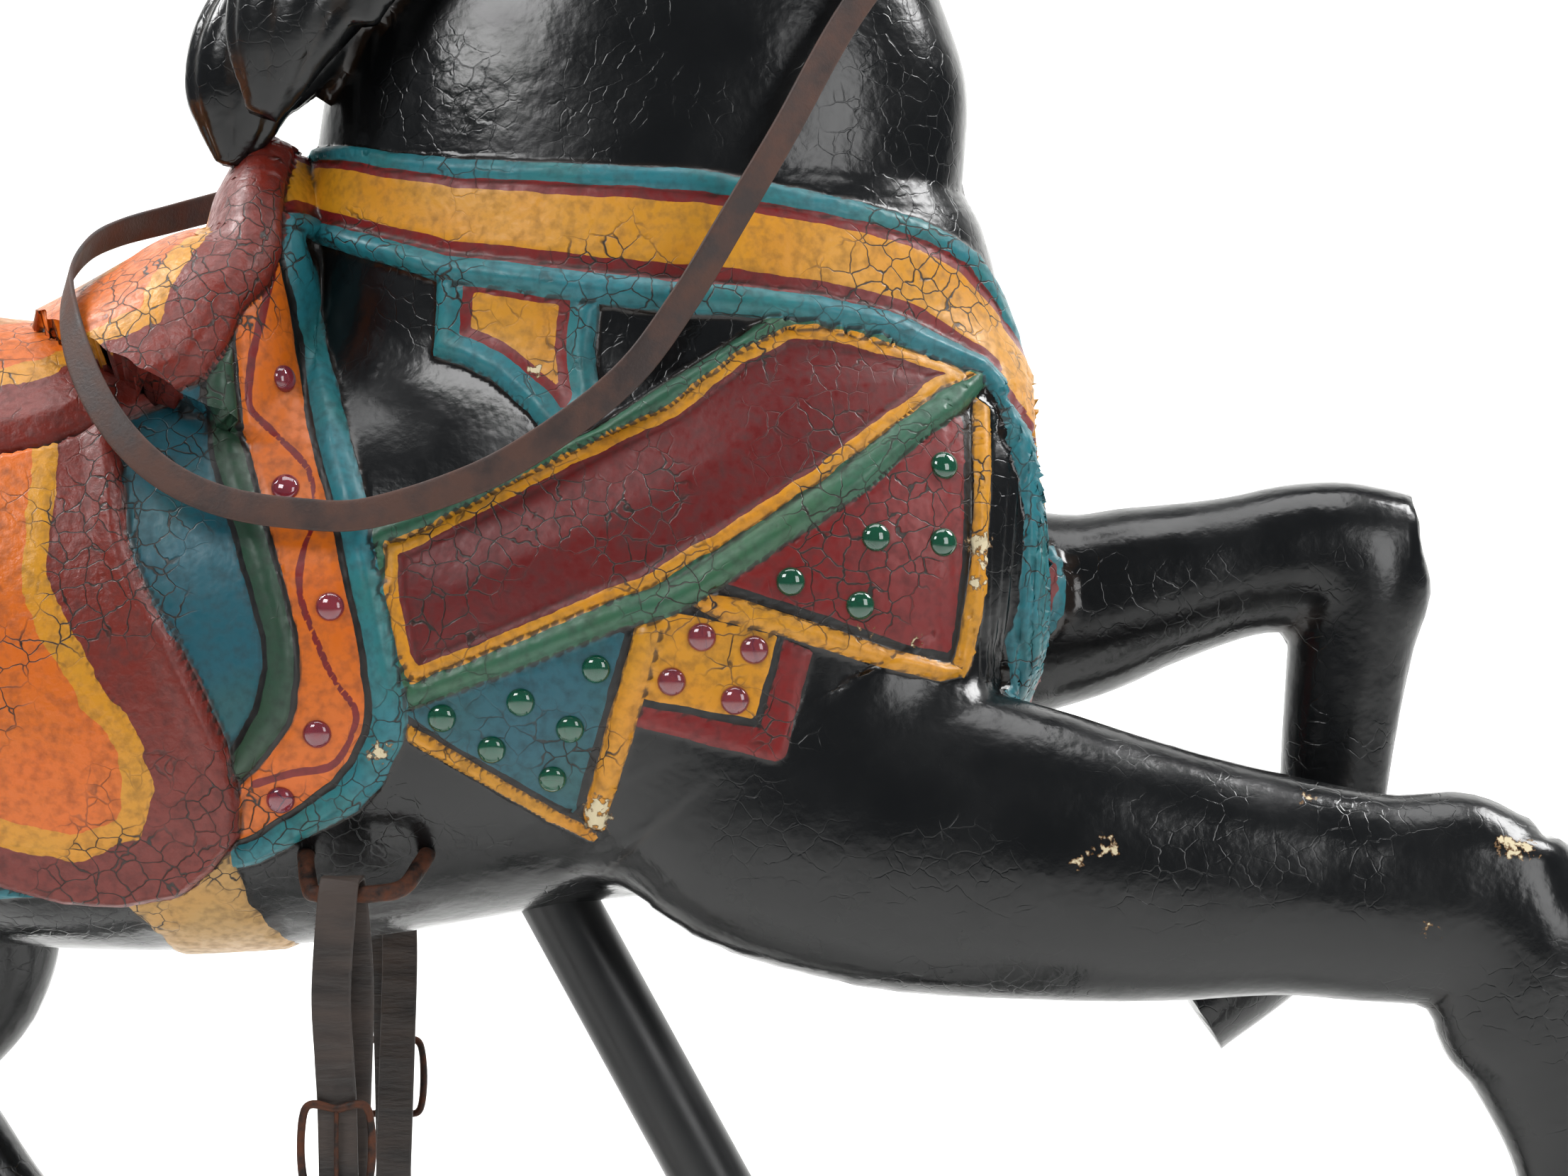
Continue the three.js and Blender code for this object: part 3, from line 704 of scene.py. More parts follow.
ABOVE_COLLAR = (
    (40, 1045), (85, 1039), (122, 1025), (150, 1016), (182, 1004), (234, 996), (285, 988), (330, 982),
    (376, 980), (426, 975), (467, 967), (498, 955), (529, 945), (540, 932), (554, 906), (563, 872),
    (566, 831), (565, 801), (560, 739), (558, 728), (600, 715), (760, 700), (760, 1800), (40, 1800),
)  # fmt: skip
GIRTH = ((-22, 660), (-22, 602), (-3, 576), (8, 540), (92, 540), (78, 573), (68, 584), (59, 602), (45, 660))
SASH = (
    (136, 842), (177, 858), (286, 908), (336, 941), (376, 967), (400, 985), (446, 984), (500, 970),
    (548, 950), (534, 934), (520, 918), (497, 902), (456, 865), (406, 832), (356, 799), (337, 789),
    (307, 781), (227, 750), (165, 727), (154, 722),
)  # fmt: skip
SASH_FIELD = (
    (152, 834), (167, 838), (187, 848), (286, 900), (331, 921), (376, 957), (406, 973), (426, 974),
    (467, 965), (508, 953), (529, 942), (507, 933), (466, 901), (426, 871), (376, 838), (317, 804),
    (277, 789), (198, 756), (170, 745), (162, 761), (154, 801),
)  # fmt: skip
TEAL_FIELD = (
    (160, 728), (170, 740), (304, 785), (312, 779), (294, 721), (277, 662), (275, 654), (235, 678),
    (196, 701), (165, 721),
)  # fmt: skip
RED_FIELD = (
    (355, 806), (430, 862), (490, 912), (520, 935), (527, 912), (526, 831), (518, 766), (513, 757),
    (481, 765), (436, 781), (376, 800),
)  # fmt: skip
RED_CORNER = ((306, 735), (311, 718), (401, 696), (407, 699), (424, 766), (404, 775))
OCHRE_SQUARE = ((318, 800), (408, 780), (391, 717), (306, 733))
STRIPS = (
    ((529, 931), (540, 923), (540, 882), (538, 851), (534, 791), (526, 756), (521, 747), (513, 757),
     (521, 791), (526, 831), (528, 913)),
    ((346, 796), (356, 803), (376, 800), (436, 781), (481, 765), (516, 757), (524, 750), (506, 746),
     (456, 759), (406, 775), (366, 785)),
    ((312, 782), (294, 721), (277, 662), (280, 652), (290, 650), (304, 691), (321, 746), (331, 786)),
    ((165, 722), (235, 679), (275, 655), (287, 646), (283, 642), (255, 656), (206, 686), (166, 709)),
)  # fmt: skip
BRACKET = (
    (181, 1026), (181, 984), (178, 956), (198, 950), (219, 939), (238, 922), (256, 901), (276, 901),
    (290, 924), (285, 957), (290, 1010),
)  # fmt: skip
STRAP_WAVE = (
    (72, 1017), (67, 983), (62, 952), (61, 925), (69, 912), (94, 890), (104, 876), (108, 851), (102, 831),
    (99, 811), (103, 791), (121, 749), (134, 731), (133, 716), (119, 694), (92, 689), (69, 682),
)  # fmt: skip

ZONES = (
    Zone("red_corner", ((0, Pigment.RED),), ((0, 0), (3, 2.5)), wobble=1.2),
    Zone("teal_field", ((0, Pigment.BLACK), (5, Pigment.DEEP_TEAL)), ((0, 0), (5, 2.5)), wobble=1.0),
    Zone("red_field", ((0, Pigment.BLACK), (6, Pigment.RED)), ((0, 0), (5, 2.5)), wobble=1.0),
    Zone("ochre_square", ((0, Pigment.BLACK), (5, Pigment.OCHRE)), ((0, 1), (4, 3.5)), wobble=1.0),
    Zone("strips", ((0, Pigment.OCHRE),), ((0, 0), (3, 5), (9, 6)), wobble=1.0),
    Zone(
        "bracket",
        ((0, Pigment.TEAL), (18, Pigment.RED), (25, Pigment.OCHRE)),
        ((0, 0), (3, 5), (9, 8), (17, 5), (24, 3)),
    ),
    Zone("sash", ((0, Pigment.SASH_GREEN),), ((0, 0), (3, 6), (8, 9), (16, 7), (20, 3))),
    Zone(
        "sash_field",
        ((0, Pigment.OCHRE), (8.5, Pigment.SASH_RED)),
        ((0, 2), (3, 4.5), (8, 5), (12, 2.5), (45, 6)),
    ),
    Zone(
        "blanket",
        (
            (0, Pigment.TEAL),
            (0.23, Pigment.BLACK),
            (0.285, Pigment.ORANGE),
            (0.71, Pigment.BLACK),
            (0.755, Pigment.GREEN),
            (0.955, Pigment.BLACK),
            (1.0, Pigment.DEEP_TEAL),
        ),
        (
            (0, 0), (0.04, 5), (0.12, 8.5), (0.21, 5), (0.255, 0.5), (0.31, 3), (0.69, 3), (0.73, 0.5),
            (0.78, 5.5), (0.86, 7.5), (0.94, 5), (1, 1),
        ),
        top=1.5,
        wobble=0.012,
    ),
    Zone(
        "collar",
        (
            (0, Pigment.TEAL),
            (0.15, Pigment.RED),
            (0.235, Pigment.OCHRE),
            (0.66, Pigment.RED),
            (0.78, Pigment.TEAL),
        ),
        (
            (0, 0), (0.03, 4), (0.13, 4), (0.16, 1), (0.24, 2.5), (0.65, 3), (0.76, 1), (0.8, 6.5),
            (0.89, 10), (0.97, 6), (1, 0),
        ),
        top=1.0,
        wobble=0.012,
    ),
    Zone(
        "girth",
        ((0, Pigment.PALE_OCHRE),),
        ((0, 0), (3, 3.0)),
    ),
    Zone(
        "flap",
        ((0, Pigment.SADDLE_RED),),
        ((0, 0), (3, 9), (9, 14), (17, 11), (22, 9), (60, 10)),
        top=100.0,
        wobble=3.0,
    ),
    Zone(
        "flap_panel",
        ((0, Pigment.OCHRE), (17, Pigment.ORANGE)),
        ((0, 9), (5, 11), (60, 12)),
        top=100.0,
        wobble=3.0,
    ),
    Zone(
        "seat",
        ((0, Pigment.SADDLE_RED), (41, Pigment.OCHRE), (53, Pigment.ORANGE), (84, Pigment.SEAT_TAN)),
        ((0, 0), (4, 9), (17, 15), (36, 12.5), (60, 14)),
        top=110.0,
        wobble=3.0,
    ),
)

# Bare places: x, z and reach in millimetres of chips on the dressed side that show the primer.
CHIPS = (
    (288, 668, 6), (287, 660, 8), (531, 834, 6), (532, 821, 3), (528, 809, 3), (491, 773, 2),
    (609, 643, 6), (591, 634, 2), (866, 641, 6), (880, 639, 4), (815, 589, 3.5), (741, 671, 3),
    (149, 703, 5), (456, 779, 2), (247, 944, 3),
)  # fmt: skip

# Places of the glass jewels on the dressed side, x and z.
GREEN_JEWELS = (
    (189, 724), (239, 734), (287, 755), (270, 717), (220, 704), (258, 685),
    (508, 884), (464, 838), (507, 835), (410, 810), (454, 795),
)  # fmt: skip
PINK_JEWELS = (
    (80, 941), (88, 869), (119, 794), (110, 714), (85, 672),
    (354, 775), (387, 767), (335, 747), (375, 735),
)  # fmt: skip


@dataclass
class Trappings:
    """Works out, at any point of the carving, what is raised and what is painted there."""

    carving: Carving

    def fields(self, points: np.ndarray) -> dict[str, np.ndarray]:
        """Gives each zone's value at the points.

        Planes seen along Y: a point's x and z are set against each outline. A band's value is the
        distance to its first edge over the distance to both.

        Args:
            points: points of the bare carving.

        Returns:
            One array for each zone, and the distances "wave" and "chip".
        """
        flat = points[:, [0, 2]]
        hair = self.carving.locks(points) - 1.5
        trunk = [limb.distance(points) for limb in self.carving.trunk + self.carving.saddle]
        body = 4 * (26 - np.minimum.reduce(trunk))
        room = np.minimum(4 * hair, body)
        near = np.minimum(room, 4 * (-points[:, 1] - 20))
        values = {}
        singles = {
            "red_corner": (RED_CORNER,),
            "teal_field": (TEAL_FIELD,),
            "red_field": (RED_FIELD,),
            "ochre_square": (OCHRE_SQUARE,),
            "strips": STRIPS,
            "bracket": (BRACKET,),
            "sash": (SASH,),
            "sash_field": (SASH_FIELD,),
        }
        for name, outlines in singles.items():
            inside = np.max([polygon_inset(outline, flat) for outline in outlines], 0)
            values[name] = np.minimum(inside, near)
        outer, inner = polygon_inset(BLANKET, flat), -polygon_inset(BLANKET_FIELD, flat)
        values["blanket"] = self.across(outer, inner, 30.0)
        upper, lower = polygon_inset(UNDER_COLLAR, flat), polygon_inset(ABOVE_COLLAR, flat)
        lower = np.where(points[:, 0] > 548, np.maximum(lower, 92 - np.abs(points[:, 1])), lower)
        collar = self.across(upper, lower, 20.0)
        values["collar"] = np.where((points[:, 0] > 60) | (collar > 1), collar, -0.5)
        values["room"] = room
        values["girth"] = np.minimum(polygon_inset(GIRTH, flat), body)
        values["flap"] = np.minimum(polygon_inset(FLAP, flat), room)
        values["flap_panel"] = np.minimum(polygon_inset(FLAP_PANEL, flat), room)
        values["seat"] = np.minimum(polygon_inset(SEAT, flat), room)
        wave = line_distance(spline(STRAP_WAVE, np.linspace(0, 1, 60)), flat)
        values["wave"] = wave
        chip = np.full(len(points), 40.0)
        for x, z, reach in CHIPS:
            chip = np.minimum(chip, np.hypot(flat[:, 0] - x, flat[:, 1] - z) - reach)
        values["chip"] = np.where(points[:, 1] < -10, chip, 40.0)
        return values

    @staticmethod
    def across(first: np.ndarray, second: np.ndarray, least: float) -> np.ndarray:
        """Place across a band, 0 at its first edge and 1 at its second: first / (first + second)."""
        share = first / np.maximum(np.abs(first + second), least)
        share = np.where(second < 0, np.maximum(share, 1 - second / 60), share)
        return np.clip(share, -0.5, 1.5)

    @staticmethod
    def relief(values: dict[str, np.ndarray]) -> np.ndarray:
        """Height in millimetres of the carving at each point, each zone laid over the one before."""
        height = np.zeros(len(values["seat"]))
        for zone in ZONES:
            value = values[zone.attribute]
            places, heights = zip(*zone.relief)
            own = np.interp(value, places, heights)
            inside = value > 0
            if zone.attribute in ("collar", "blanket"):
                inside &= values["room"] > 0
            if zone.attribute == "collar":
                inside &= value < 1
            height = np.where(inside, np.maximum(own, height * 0.35), height)
        return height


@dataclass(frozen=True)
class Enamel:
    """Old carousel enamel: brushed gloss paint over carved basswood, crackled, chipped and grimed, with
    painted shade darkening the hollows of the carving.

    The eye sees wet black highlights broken by lumps, and thick dull colours with fine dark cracks.
    """

    gloss: float = 0.2
    colour_roughness: float = 0.42
    saddle_roughness: float = 0.5
    primer: str = "cbbd9c"
    # The grime colour is used for real dirt in the cracks and fine patches, and also for the painted shade
    # laid in the hollows.
    grime_and_shade: str = "1d130b"
    crack_mm: float = 15.0
    pit_mm: float = 4.0
    lump_mm: float = 34.0

    def build(self) -> bpy.types.Material:
        """Makes the material, which reads the carving's attributes and Object coordinates."""
        material, tree, shader = new_material("brushed_enamel_over_carved_wood")
        coords = node(tree, "ShaderNodeTexCoord", {}, {}).outputs["Object"]

        def noise(per_mm: float, detail: float = 3.0, offset: float = 0.0) -> bpy.types.NodeSocket:
            """Gives noise whose lumps are per_mm across."""
            place = node(tree, "ShaderNodeMapping", {}, {"Vector": coords, "Location": (offset, offset, 0)})
            made = node(
                tree,
                "ShaderNodeTexNoise",
                {},
                {"Vector": place.outputs[0], "Scale": 1 / (per_mm * MM), "Detail": detail},
            )
            return made.outputs["Fac"]

        def maths(operation: str, a, b=0.0, clamp: bool = False) -> bpy.types.NodeSocket:
            """Works out one sum."""
            made = node(tree, "ShaderNodeMath", {"operation": operation, "use_clamp": clamp}, {0: a, 1: b})
            return made.outputs[0]

        def between(value, low: float, high: float, start: float = 0.0, end: float = 1.0):
            """Maps value from low..high onto start..end, held at both ends."""
            made = node(
                tree,
                "ShaderNodeMapRange",
                {},
                {"Value": value, "From Min": low, "From Max": high, "To Min": start, "To Max": end},
            )
            return made.outputs[0]

        def blend(share, first, second, mode: str = "MIX") -> bpy.types.NodeSocket:
            """Lays the second colour over the first."""
            made = node(
                tree,
                "ShaderNodeMix",
                {"data_type": "RGBA", "blend_type": mode},
                {0: share, 6: first, 7: second},
            )
            return made.outputs[2]

        def attribute(name: str) -> bpy.types.NodeSocket:
            """Reads one of the carving's attributes."""
            return node(tree, "ShaderNodeAttribute", {"attribute_name": name}, {}).outputs["Fac"]

        wobble = between(noise(22, 3), 0.25, 0.75, -1, 1)
        colour = linear(Pigment.BLACK.value)
        painted = 0.0
        for zone in ZONES:
            value = maths("MULTIPLY_ADD", wobble, zone.wobble)
            tree.links.new(attribute(zone.attribute), value.node.inputs[2])
            stops = [(at / zone.top, linear(pigment.value)) for at, pigment in zone.stops]
            ramp = node(
                tree,
                "ShaderNodeValToRGB",
                {"stops": stops, "interpolation": "CONSTANT"},
                {0: maths("MULTIPLY", value, 1 / zone.top)},
            )
            edge = 0.004 if zone.wobble < 0.1 else 0.3
            inside = between(value, 0, edge)
            if zone.wobble < 0.1:
                inside = maths("MULTIPLY", inside, between(attribute("room"), 0, 2))
            if zone.attribute == "collar":
                inside = maths("MULTIPLY", inside, between(value, 1 - edge, 1, 1, 0))
            coloured = ramp.outputs[0]
            if zone.attribute == "blanket":
                wave = between(maths("ADD", attribute("wave"), wobble), 2.0, 2.4, 1, 0)
                strap = maths("MULTIPLY", between(value, 0.3, 0.31), between(value, 0.76, 0.77, 1, 0))
                coloured = blend(maths("MULTIPLY", wave, strap), coloured, linear(Pigment.RED.value))
            colour = blend(inside, colour, coloured)
            painted = maths("MAXIMUM", painted, inside)
        saddle = maths("MAXIMUM", between(attribute("flap"), 0, 1), between(attribute("seat"), 0, 1))

        patchy = noise(60, 4, 3.0)
        fine = noise(7, 5, 5.0)
        lighter = blend(between(patchy, 0.45, 0.7, 0, 0.35), colour, linear("d8b070"), "SOFT_LIGHT")
        darker = blend(between(fine, 0.45, 0.75, 0.0, 0.45), lighter, linear(self.grime_and_shade), "MULTIPLY")
        toned = blend(painted, colour, darker)

        swirl = node(tree, "ShaderNodeTexNoise", {}, {"Vector": coords, "Scale": 60}).outputs["Color"]
        bent = blend(0.012, coords, swirl, "ADD")
        cells = node(
            tree,
            "ShaderNodeTexVoronoi",
            {"feature": "DISTANCE_TO_EDGE"},
            {"Vector": bent, "Scale": 1 / (self.crack_mm * MM)},
        ).outputs["Distance"]
        crack_line = between(cells, 0.012, 0.04, 1, 0)
        crack_area = between(noise(90, 2, 9.0), 0.46, 0.56)
        cracks = maths("MULTIPLY", crack_line, crack_area)
        cracked = blend(maths("MULTIPLY", cracks, painted), toned, linear(self.grime_and_shade))

        chip = maths("ADD", attribute("chip"), between(noise(5, 4, 2.0), 0.3, 0.7, -5, 5))
        bare = between(chip, -0.4, 0.4, 1, 0)
        chipped = blend(bare, cracked, linear(self.primer))
        rim = between(maths("ABSOLUTE", chip), 0.4, 1.4, 0.8, 0)
        chipped = blend(rim, chipped, linear("6b4a24"))

        # Painted shade and grime: the hollows of the carving, found from the crevice attribute, are darkened
        # towards the grime colour. This stands for dirt lodged there and also for the shade that falls in
        # the recesses.
        hollow_shade_and_grime = between(attribute("crevice"), 0.15, 0.9)
        grimy_and_shaded = blend(maths("MULTIPLY", hollow_shade_and_grime, 0.75), chipped, linear(self.grime_and_shade))
        tree.links.new(grimy_and_shaded, shader.inputs["Base Color"])

        gloss = between(patchy, 0.3, 0.7, self.gloss - 0.06, self.gloss + 0.1)
        dull = between(fine, 0.3, 0.7, self.colour_roughness - 0.1, self.colour_roughness + 0.12)
        mixed = node(tree, "ShaderNodeMix", {"data_type": "FLOAT"}, {0: painted, 2: gloss, 3: dull})
        rough = mixed.outputs[0]
        rough = maths("MAXIMUM", rough, maths("MULTIPLY", bare, 0.8))
        tree.links.new(rough, shader.inputs["Roughness"])
        shader.inputs["IOR"].default_value = 1.5

        lumps = noise(self.lump_mm, 3, 1.0)
        pits = noise(self.pit_mm, 2, 4.0)
        warts = maths("MULTIPLY", noise(5.5, 4, 8.0), between(saddle, 0, 1, 0.25, 1.6))
        height = maths("ADD", maths("MULTIPLY", lumps, 1.5), maths("MULTIPLY", pits, 0.1))
        height = maths("ADD", height, maths("MULTIPLY", warts, 0.6))
        height = maths("SUBTRACT", height, maths("MULTIPLY", cracks, between(painted, 0, 1, 0.1, 0.4)))
        height = maths("SUBTRACT", height, maths("MULTIPLY", bare, 0.5))
        bump = node(tree, "ShaderNodeBump", {}, {"Height": height, "Distance": 1.0 * MM, "Strength": 0.9})
        tree.links.new(bump.outputs[0], shader.inputs["Normal"])
        return material


@dataclass
class CarvedHorse:
    """The one carved piece: horse, mane, tail, saddle and trappings.

    voxel_mm is the size of the fused mesh's faces. They are halved where hair and head are carved and
    cut in three where the trappings are.
    """

    carving: Carving = field(default_factory=Carving)
    voxel_mm: float = 9.5

    def __post_init__(self) -> None:
        """Sets up the trappings on this carving."""
        self.trappings = Trappings(self.carving)

    def fused(self) -> bpy.types.Object:
        """Fuses the overlapping forms into one skin of even quads."""
        rough = self.carving.rough_mesh()
        remesh = rough.modifiers.new("fuse", "REMESH")
        remesh.mode = "VOXEL"
        remesh.voxel_size = self.voxel_mm * MM
        graph = bpy.context.evaluated_depsgraph_get()
        mesh = bpy.data.meshes.new_from_object(rough.evaluated_get(graph))
        bpy.data.objects.remove(rough)
        piece = bpy.data.objects.new("carved_horse", mesh)
        bpy.context.scene.collection.objects.link(piece)
        return piece

    @staticmethod
    def cut_finer(piece: bpy.types.Object, wanted: np.ndarray, cuts: int) -> None:
        """Divides every edge whose two ends are wanted into cuts + 1."""
        work = bmesh.new()
        work.from_mesh(piece.data)
        edges = [edge for edge in work.edges if all(wanted[vert.index] for vert in edge.verts)]
        bmesh.ops.subdivide_edges(work, edges=edges, cuts=cuts, use_grid_fill=True)
        bmesh.ops.triangulate(work, faces=[face for face in work.faces if len(face.verts) > 4])
        work.to_mesh(piece.data)
        work.free()

    @staticmethod
    def vertices(piece: bpy.types.Object) -> np.ndarray:
        """Reads a piece's vertices in millimetres."""
        flat = np.empty(3 * len(piece.data.vertices))
        piece.data.vertices.foreach_get("co", flat)
        return flat.reshape(-1, 3) / MM

    @staticmethod
    def relaxed(piece: bpy.types.Object, points: np.ndarray, share: float) -> np.ndarray:
        """Moves each vertex a share of the way to the mean of its neighbours."""
        ends = np.empty(2 * len(piece.data.edges), int)
        piece.data.edges.foreach_get("vertices", ends)
        a, b = ends.reshape(-1, 2).T
        both = np.r_[a, b]
        count = np.bincount(both, minlength=len(points))[:, None]
        sums = [np.bincount(both, np.r_[points[b, k], points[a, k]], len(points)) for k in range(3)]
        total = np.stack(sums, 1)
        return points + share * (total / np.maximum(count, 1) - points)

    def build(self) -> bpy.types.Object:
        """Makes the finished mesh: fused, settled on the carved form, and raised by the relief."""
        piece = self.fused()
        points = self.vertices(piece)
        points, _ = self.carving.settle(points, 2)
        piece.data.vertices.foreach_set("co", (points * MM).ravel())
        x, y, z = points.T
        dressed = (y < -12) & (x > -140) & (x < 600) & (z > 600) & (z < 1110)
        self.cut_finer(piece, dressed, 2)
        points = self.vertices(piece)
        x, y, z = points.T
        hair = (z > 1090) & (x < 330) | (z > 1280)
        far = (y > 12) & (x > -140) & (x < 600) & (z > 600) & (z < 1110)
        self.cut_finer(piece, hair | far, 1)
        points = self.vertices(piece)
        for share in (0.5, 0.3):
            points = self.relaxed(piece, points, share)
            points, out = self.carving.settle(points, 1)
        values = self.trappings.fields(points)
        height = self.trappings.relief(values)
        lifted = points + out * height[:, None]
        values["crevice"] = self.crevices(piece, lifted, out)
        piece.data.vertices.foreach_set("co", (lifted * MM).ravel())
        for name, value in values.items():
            layer = piece.data.attributes.new(name, "FLOAT", "POINT")
            layer.data.foreach_set("value", value.astype(np.float32))
        piece.data.polygons.foreach_set("use_smooth", np.ones(len(piece.data.polygons), bool))
        piece.data.update()
        piece.data.materials.clear()
        piece.data.materials.append(Enamel().build())
        LOG.info("carved horse: %d triangles", sum(len(face.vertices) - 2 for face in piece.data.polygons))
        return piece

    def crevices(self, piece: bpy.types.Object, points: np.ndarray, out: np.ndarray) -> np.ndarray:
        """How hollow the surface is: how far the neighbours' mean stands out of it, in millimetres. The
        enamel darkens the hollows by it, as grime and painted shade.
        """
        mean = self.relaxed(piece, points, 1.0)
        return ((mean - points) * out).sum(1)

    def surface(self, spots: Sequence, side: int = NEAR) -> tuple[np.ndarray, np.ndarray]:
        """Finds the finished surface under places seen along Y.

        Halves the span of y that holds the surface until it is known to a hundredth of a millimetre.

        Args:
            spots: x and z of each place.
            side: NEAR or FAR.

        Returns:
            The points and the outward directions.
        """
        flat = np.asarray(spots, float)
        outside, inside = np.full(len(flat), side * 230.0), np.full(len(flat), side * 20.0)
        for _ in range(16):
            middle = (outside + inside) / 2
            d = self.carving.distance(np.column_stack([flat[:, 0], middle, flat[:, 1]]))
            outside = np.where(d > 0, middle, outside)
            inside = np.where(d > 0, inside, middle)
        points = np.column_stack([flat[:, 0], (outside + inside) / 2, flat[:, 1]])
        _, out = self.carving.settle(points, 1)
        height = self.trappings.relief(self.trappings.fields(points))
        return points + out * height[:, None], out


# ---- Other finishes --------------------------------------------------------------------------


@dataclass(frozen=True)
class Mottled:
    """A finish of two tones in uneven patches, with a fine grain and wear.

    lump_mm is the size of the patches and grain_mm of the grain; depth_mm is how deep the grain is.
    """

    name: str
    base: str
    patch: str
    rough: tuple[float, float]
    metallic: float = 0.0
    lump_mm: float = 18.0
    grain_mm: float = 2.0
    depth_mm: float = 0.25
    stretch: tuple[float, float, float] = (1.0, 1.0, 1.0)
    coat: float = 0.0

    def build(self) -> bpy.types.Material:
        """Makes the material on Object coordinates."""
        material, tree, shader = new_material(self.name)
        coords = node(tree, "ShaderNodeTexCoord", {}, {}).outputs["Object"]
        place = node(tree, "ShaderNodeMapping", {}, {"Vector": coords, "Scale": self.stretch}).outputs[0]
        patches, grain = (
            node(
                tree,
                "ShaderNodeTexNoise",
                {},
                {"Vector": place, "Scale": 1 / (size * MM), "Detail": detail, "Roughness": 0.6},
            ).outputs["Fac"]
            for size, detail in ((self.lump_mm, 5.0), (self.grain_mm, 3.0))
        )
        stops = [(0.38, linear(self.base)), (0.62, linear(self.patch))]
        ramp = node(tree, "ShaderNodeValToRGB", {"stops": stops}, {0: patches})
        tree.links.new(ramp.outputs[0], shader.inputs["Base Color"])
        low, high = self.rough
        rough = node(
            tree,
            "ShaderNodeMapRange",
            {},
            {"Value": patches, "From Min": 0.35, "From Max": 0.65, "To Min": low, "To Max": high},
        )
        tree.links.new(rough.outputs[0], shader.inputs["Roughness"])
        bump = node(
            tree,
            "ShaderNodeBump",
            {},
            {"Height": grain, "Distance": self.depth_mm * MM, "Strength": 1.0},
        )
        tree.links.new(bump.outputs[0], shader.inputs["Normal"])
        shader.inputs["Metallic"].default_value = self.metallic
        shader.inputs["Coat Weight"].default_value = self.coat
        return material


@dataclass(frozen=True)
class Cabochon:
    """Pressed glass on foil: the eye sees a deep colour with a bright crescent inside."""

    name: str
    colour: str
    rough: float = 0.04

    def build(self) -> bpy.types.Material:
        """Makes the material: a clear coat over a coloured, partly clear body."""
        material, _, shader = new_material(self.name)
        shader.inputs["Base Color"].default_value = linear(self.colour)
        shader.inputs["Roughness"].default_value = self.rough
        shader.inputs["IOR"].default_value = 1.52
        shader.inputs["Transmission Weight"].default_value = 0.85
        shader.inputs["Coat Weight"].default_value = 1.0
        shader.inputs["Coat Roughness"].default_value = 0.03
        return material


# Low-gloss black lacquer on rolled tube: soft long highlights, a faint orange-peel.
STEEL_PAINT = Mottled("satin_black_painted_steel", "09090a", "101112", (0.3, 0.4), 0.0, 60, 1.6, 0.05)
# Old bridle leather: dull brown-black, dry cracks across, lighter where it has rubbed.
REIN_LEATHER = Mottled("old_bridle_leather", "2b1d19", "4a3026", (0.5, 0.75), 0.0, 26, 2.2, 0.35)
STIRRUP_LEATHER = Mottled(
    "wrinkled_stirrup_leather", "221c19", "3b302a", (0.42, 0.62), 0.0, 22, 3.4, 0.7, (0.25, 0.25, 1.0)
)
# Forged iron left to rust: brown-black skin with orange-brown blooms, worn brighter on the bars.
RUSTY_IRON = Mottled("rusted_forged_iron", "211a17", "5a3524", (0.45, 0.8), 0.55, 9, 1.5, 0.3)
GREEN_GLASS = Cabochon("emerald_pressed_glass", "0c9a6c")
PINK_GLASS = Cabochon("amethyst_pressed_glass", "b4587a")


def dress(piece: bpy.types.Object, material: bpy.types.Material, slot: str, *nodes: str) -> bpy.types.Object:
    """Gives a piece its material and its body, and hides the CAD nodes that it stands for."""
    piece.data.materials.clear()
    piece.data.materials.append(material)
    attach(piece, "root")
    if nodes:
        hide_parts(*nodes)
    LOG.info("%s: %d faces, %s", piece.name, len(piece.data.polygons), material.name)
    return piece


# ---- Steel stand -----------------------------------------------------------------------------


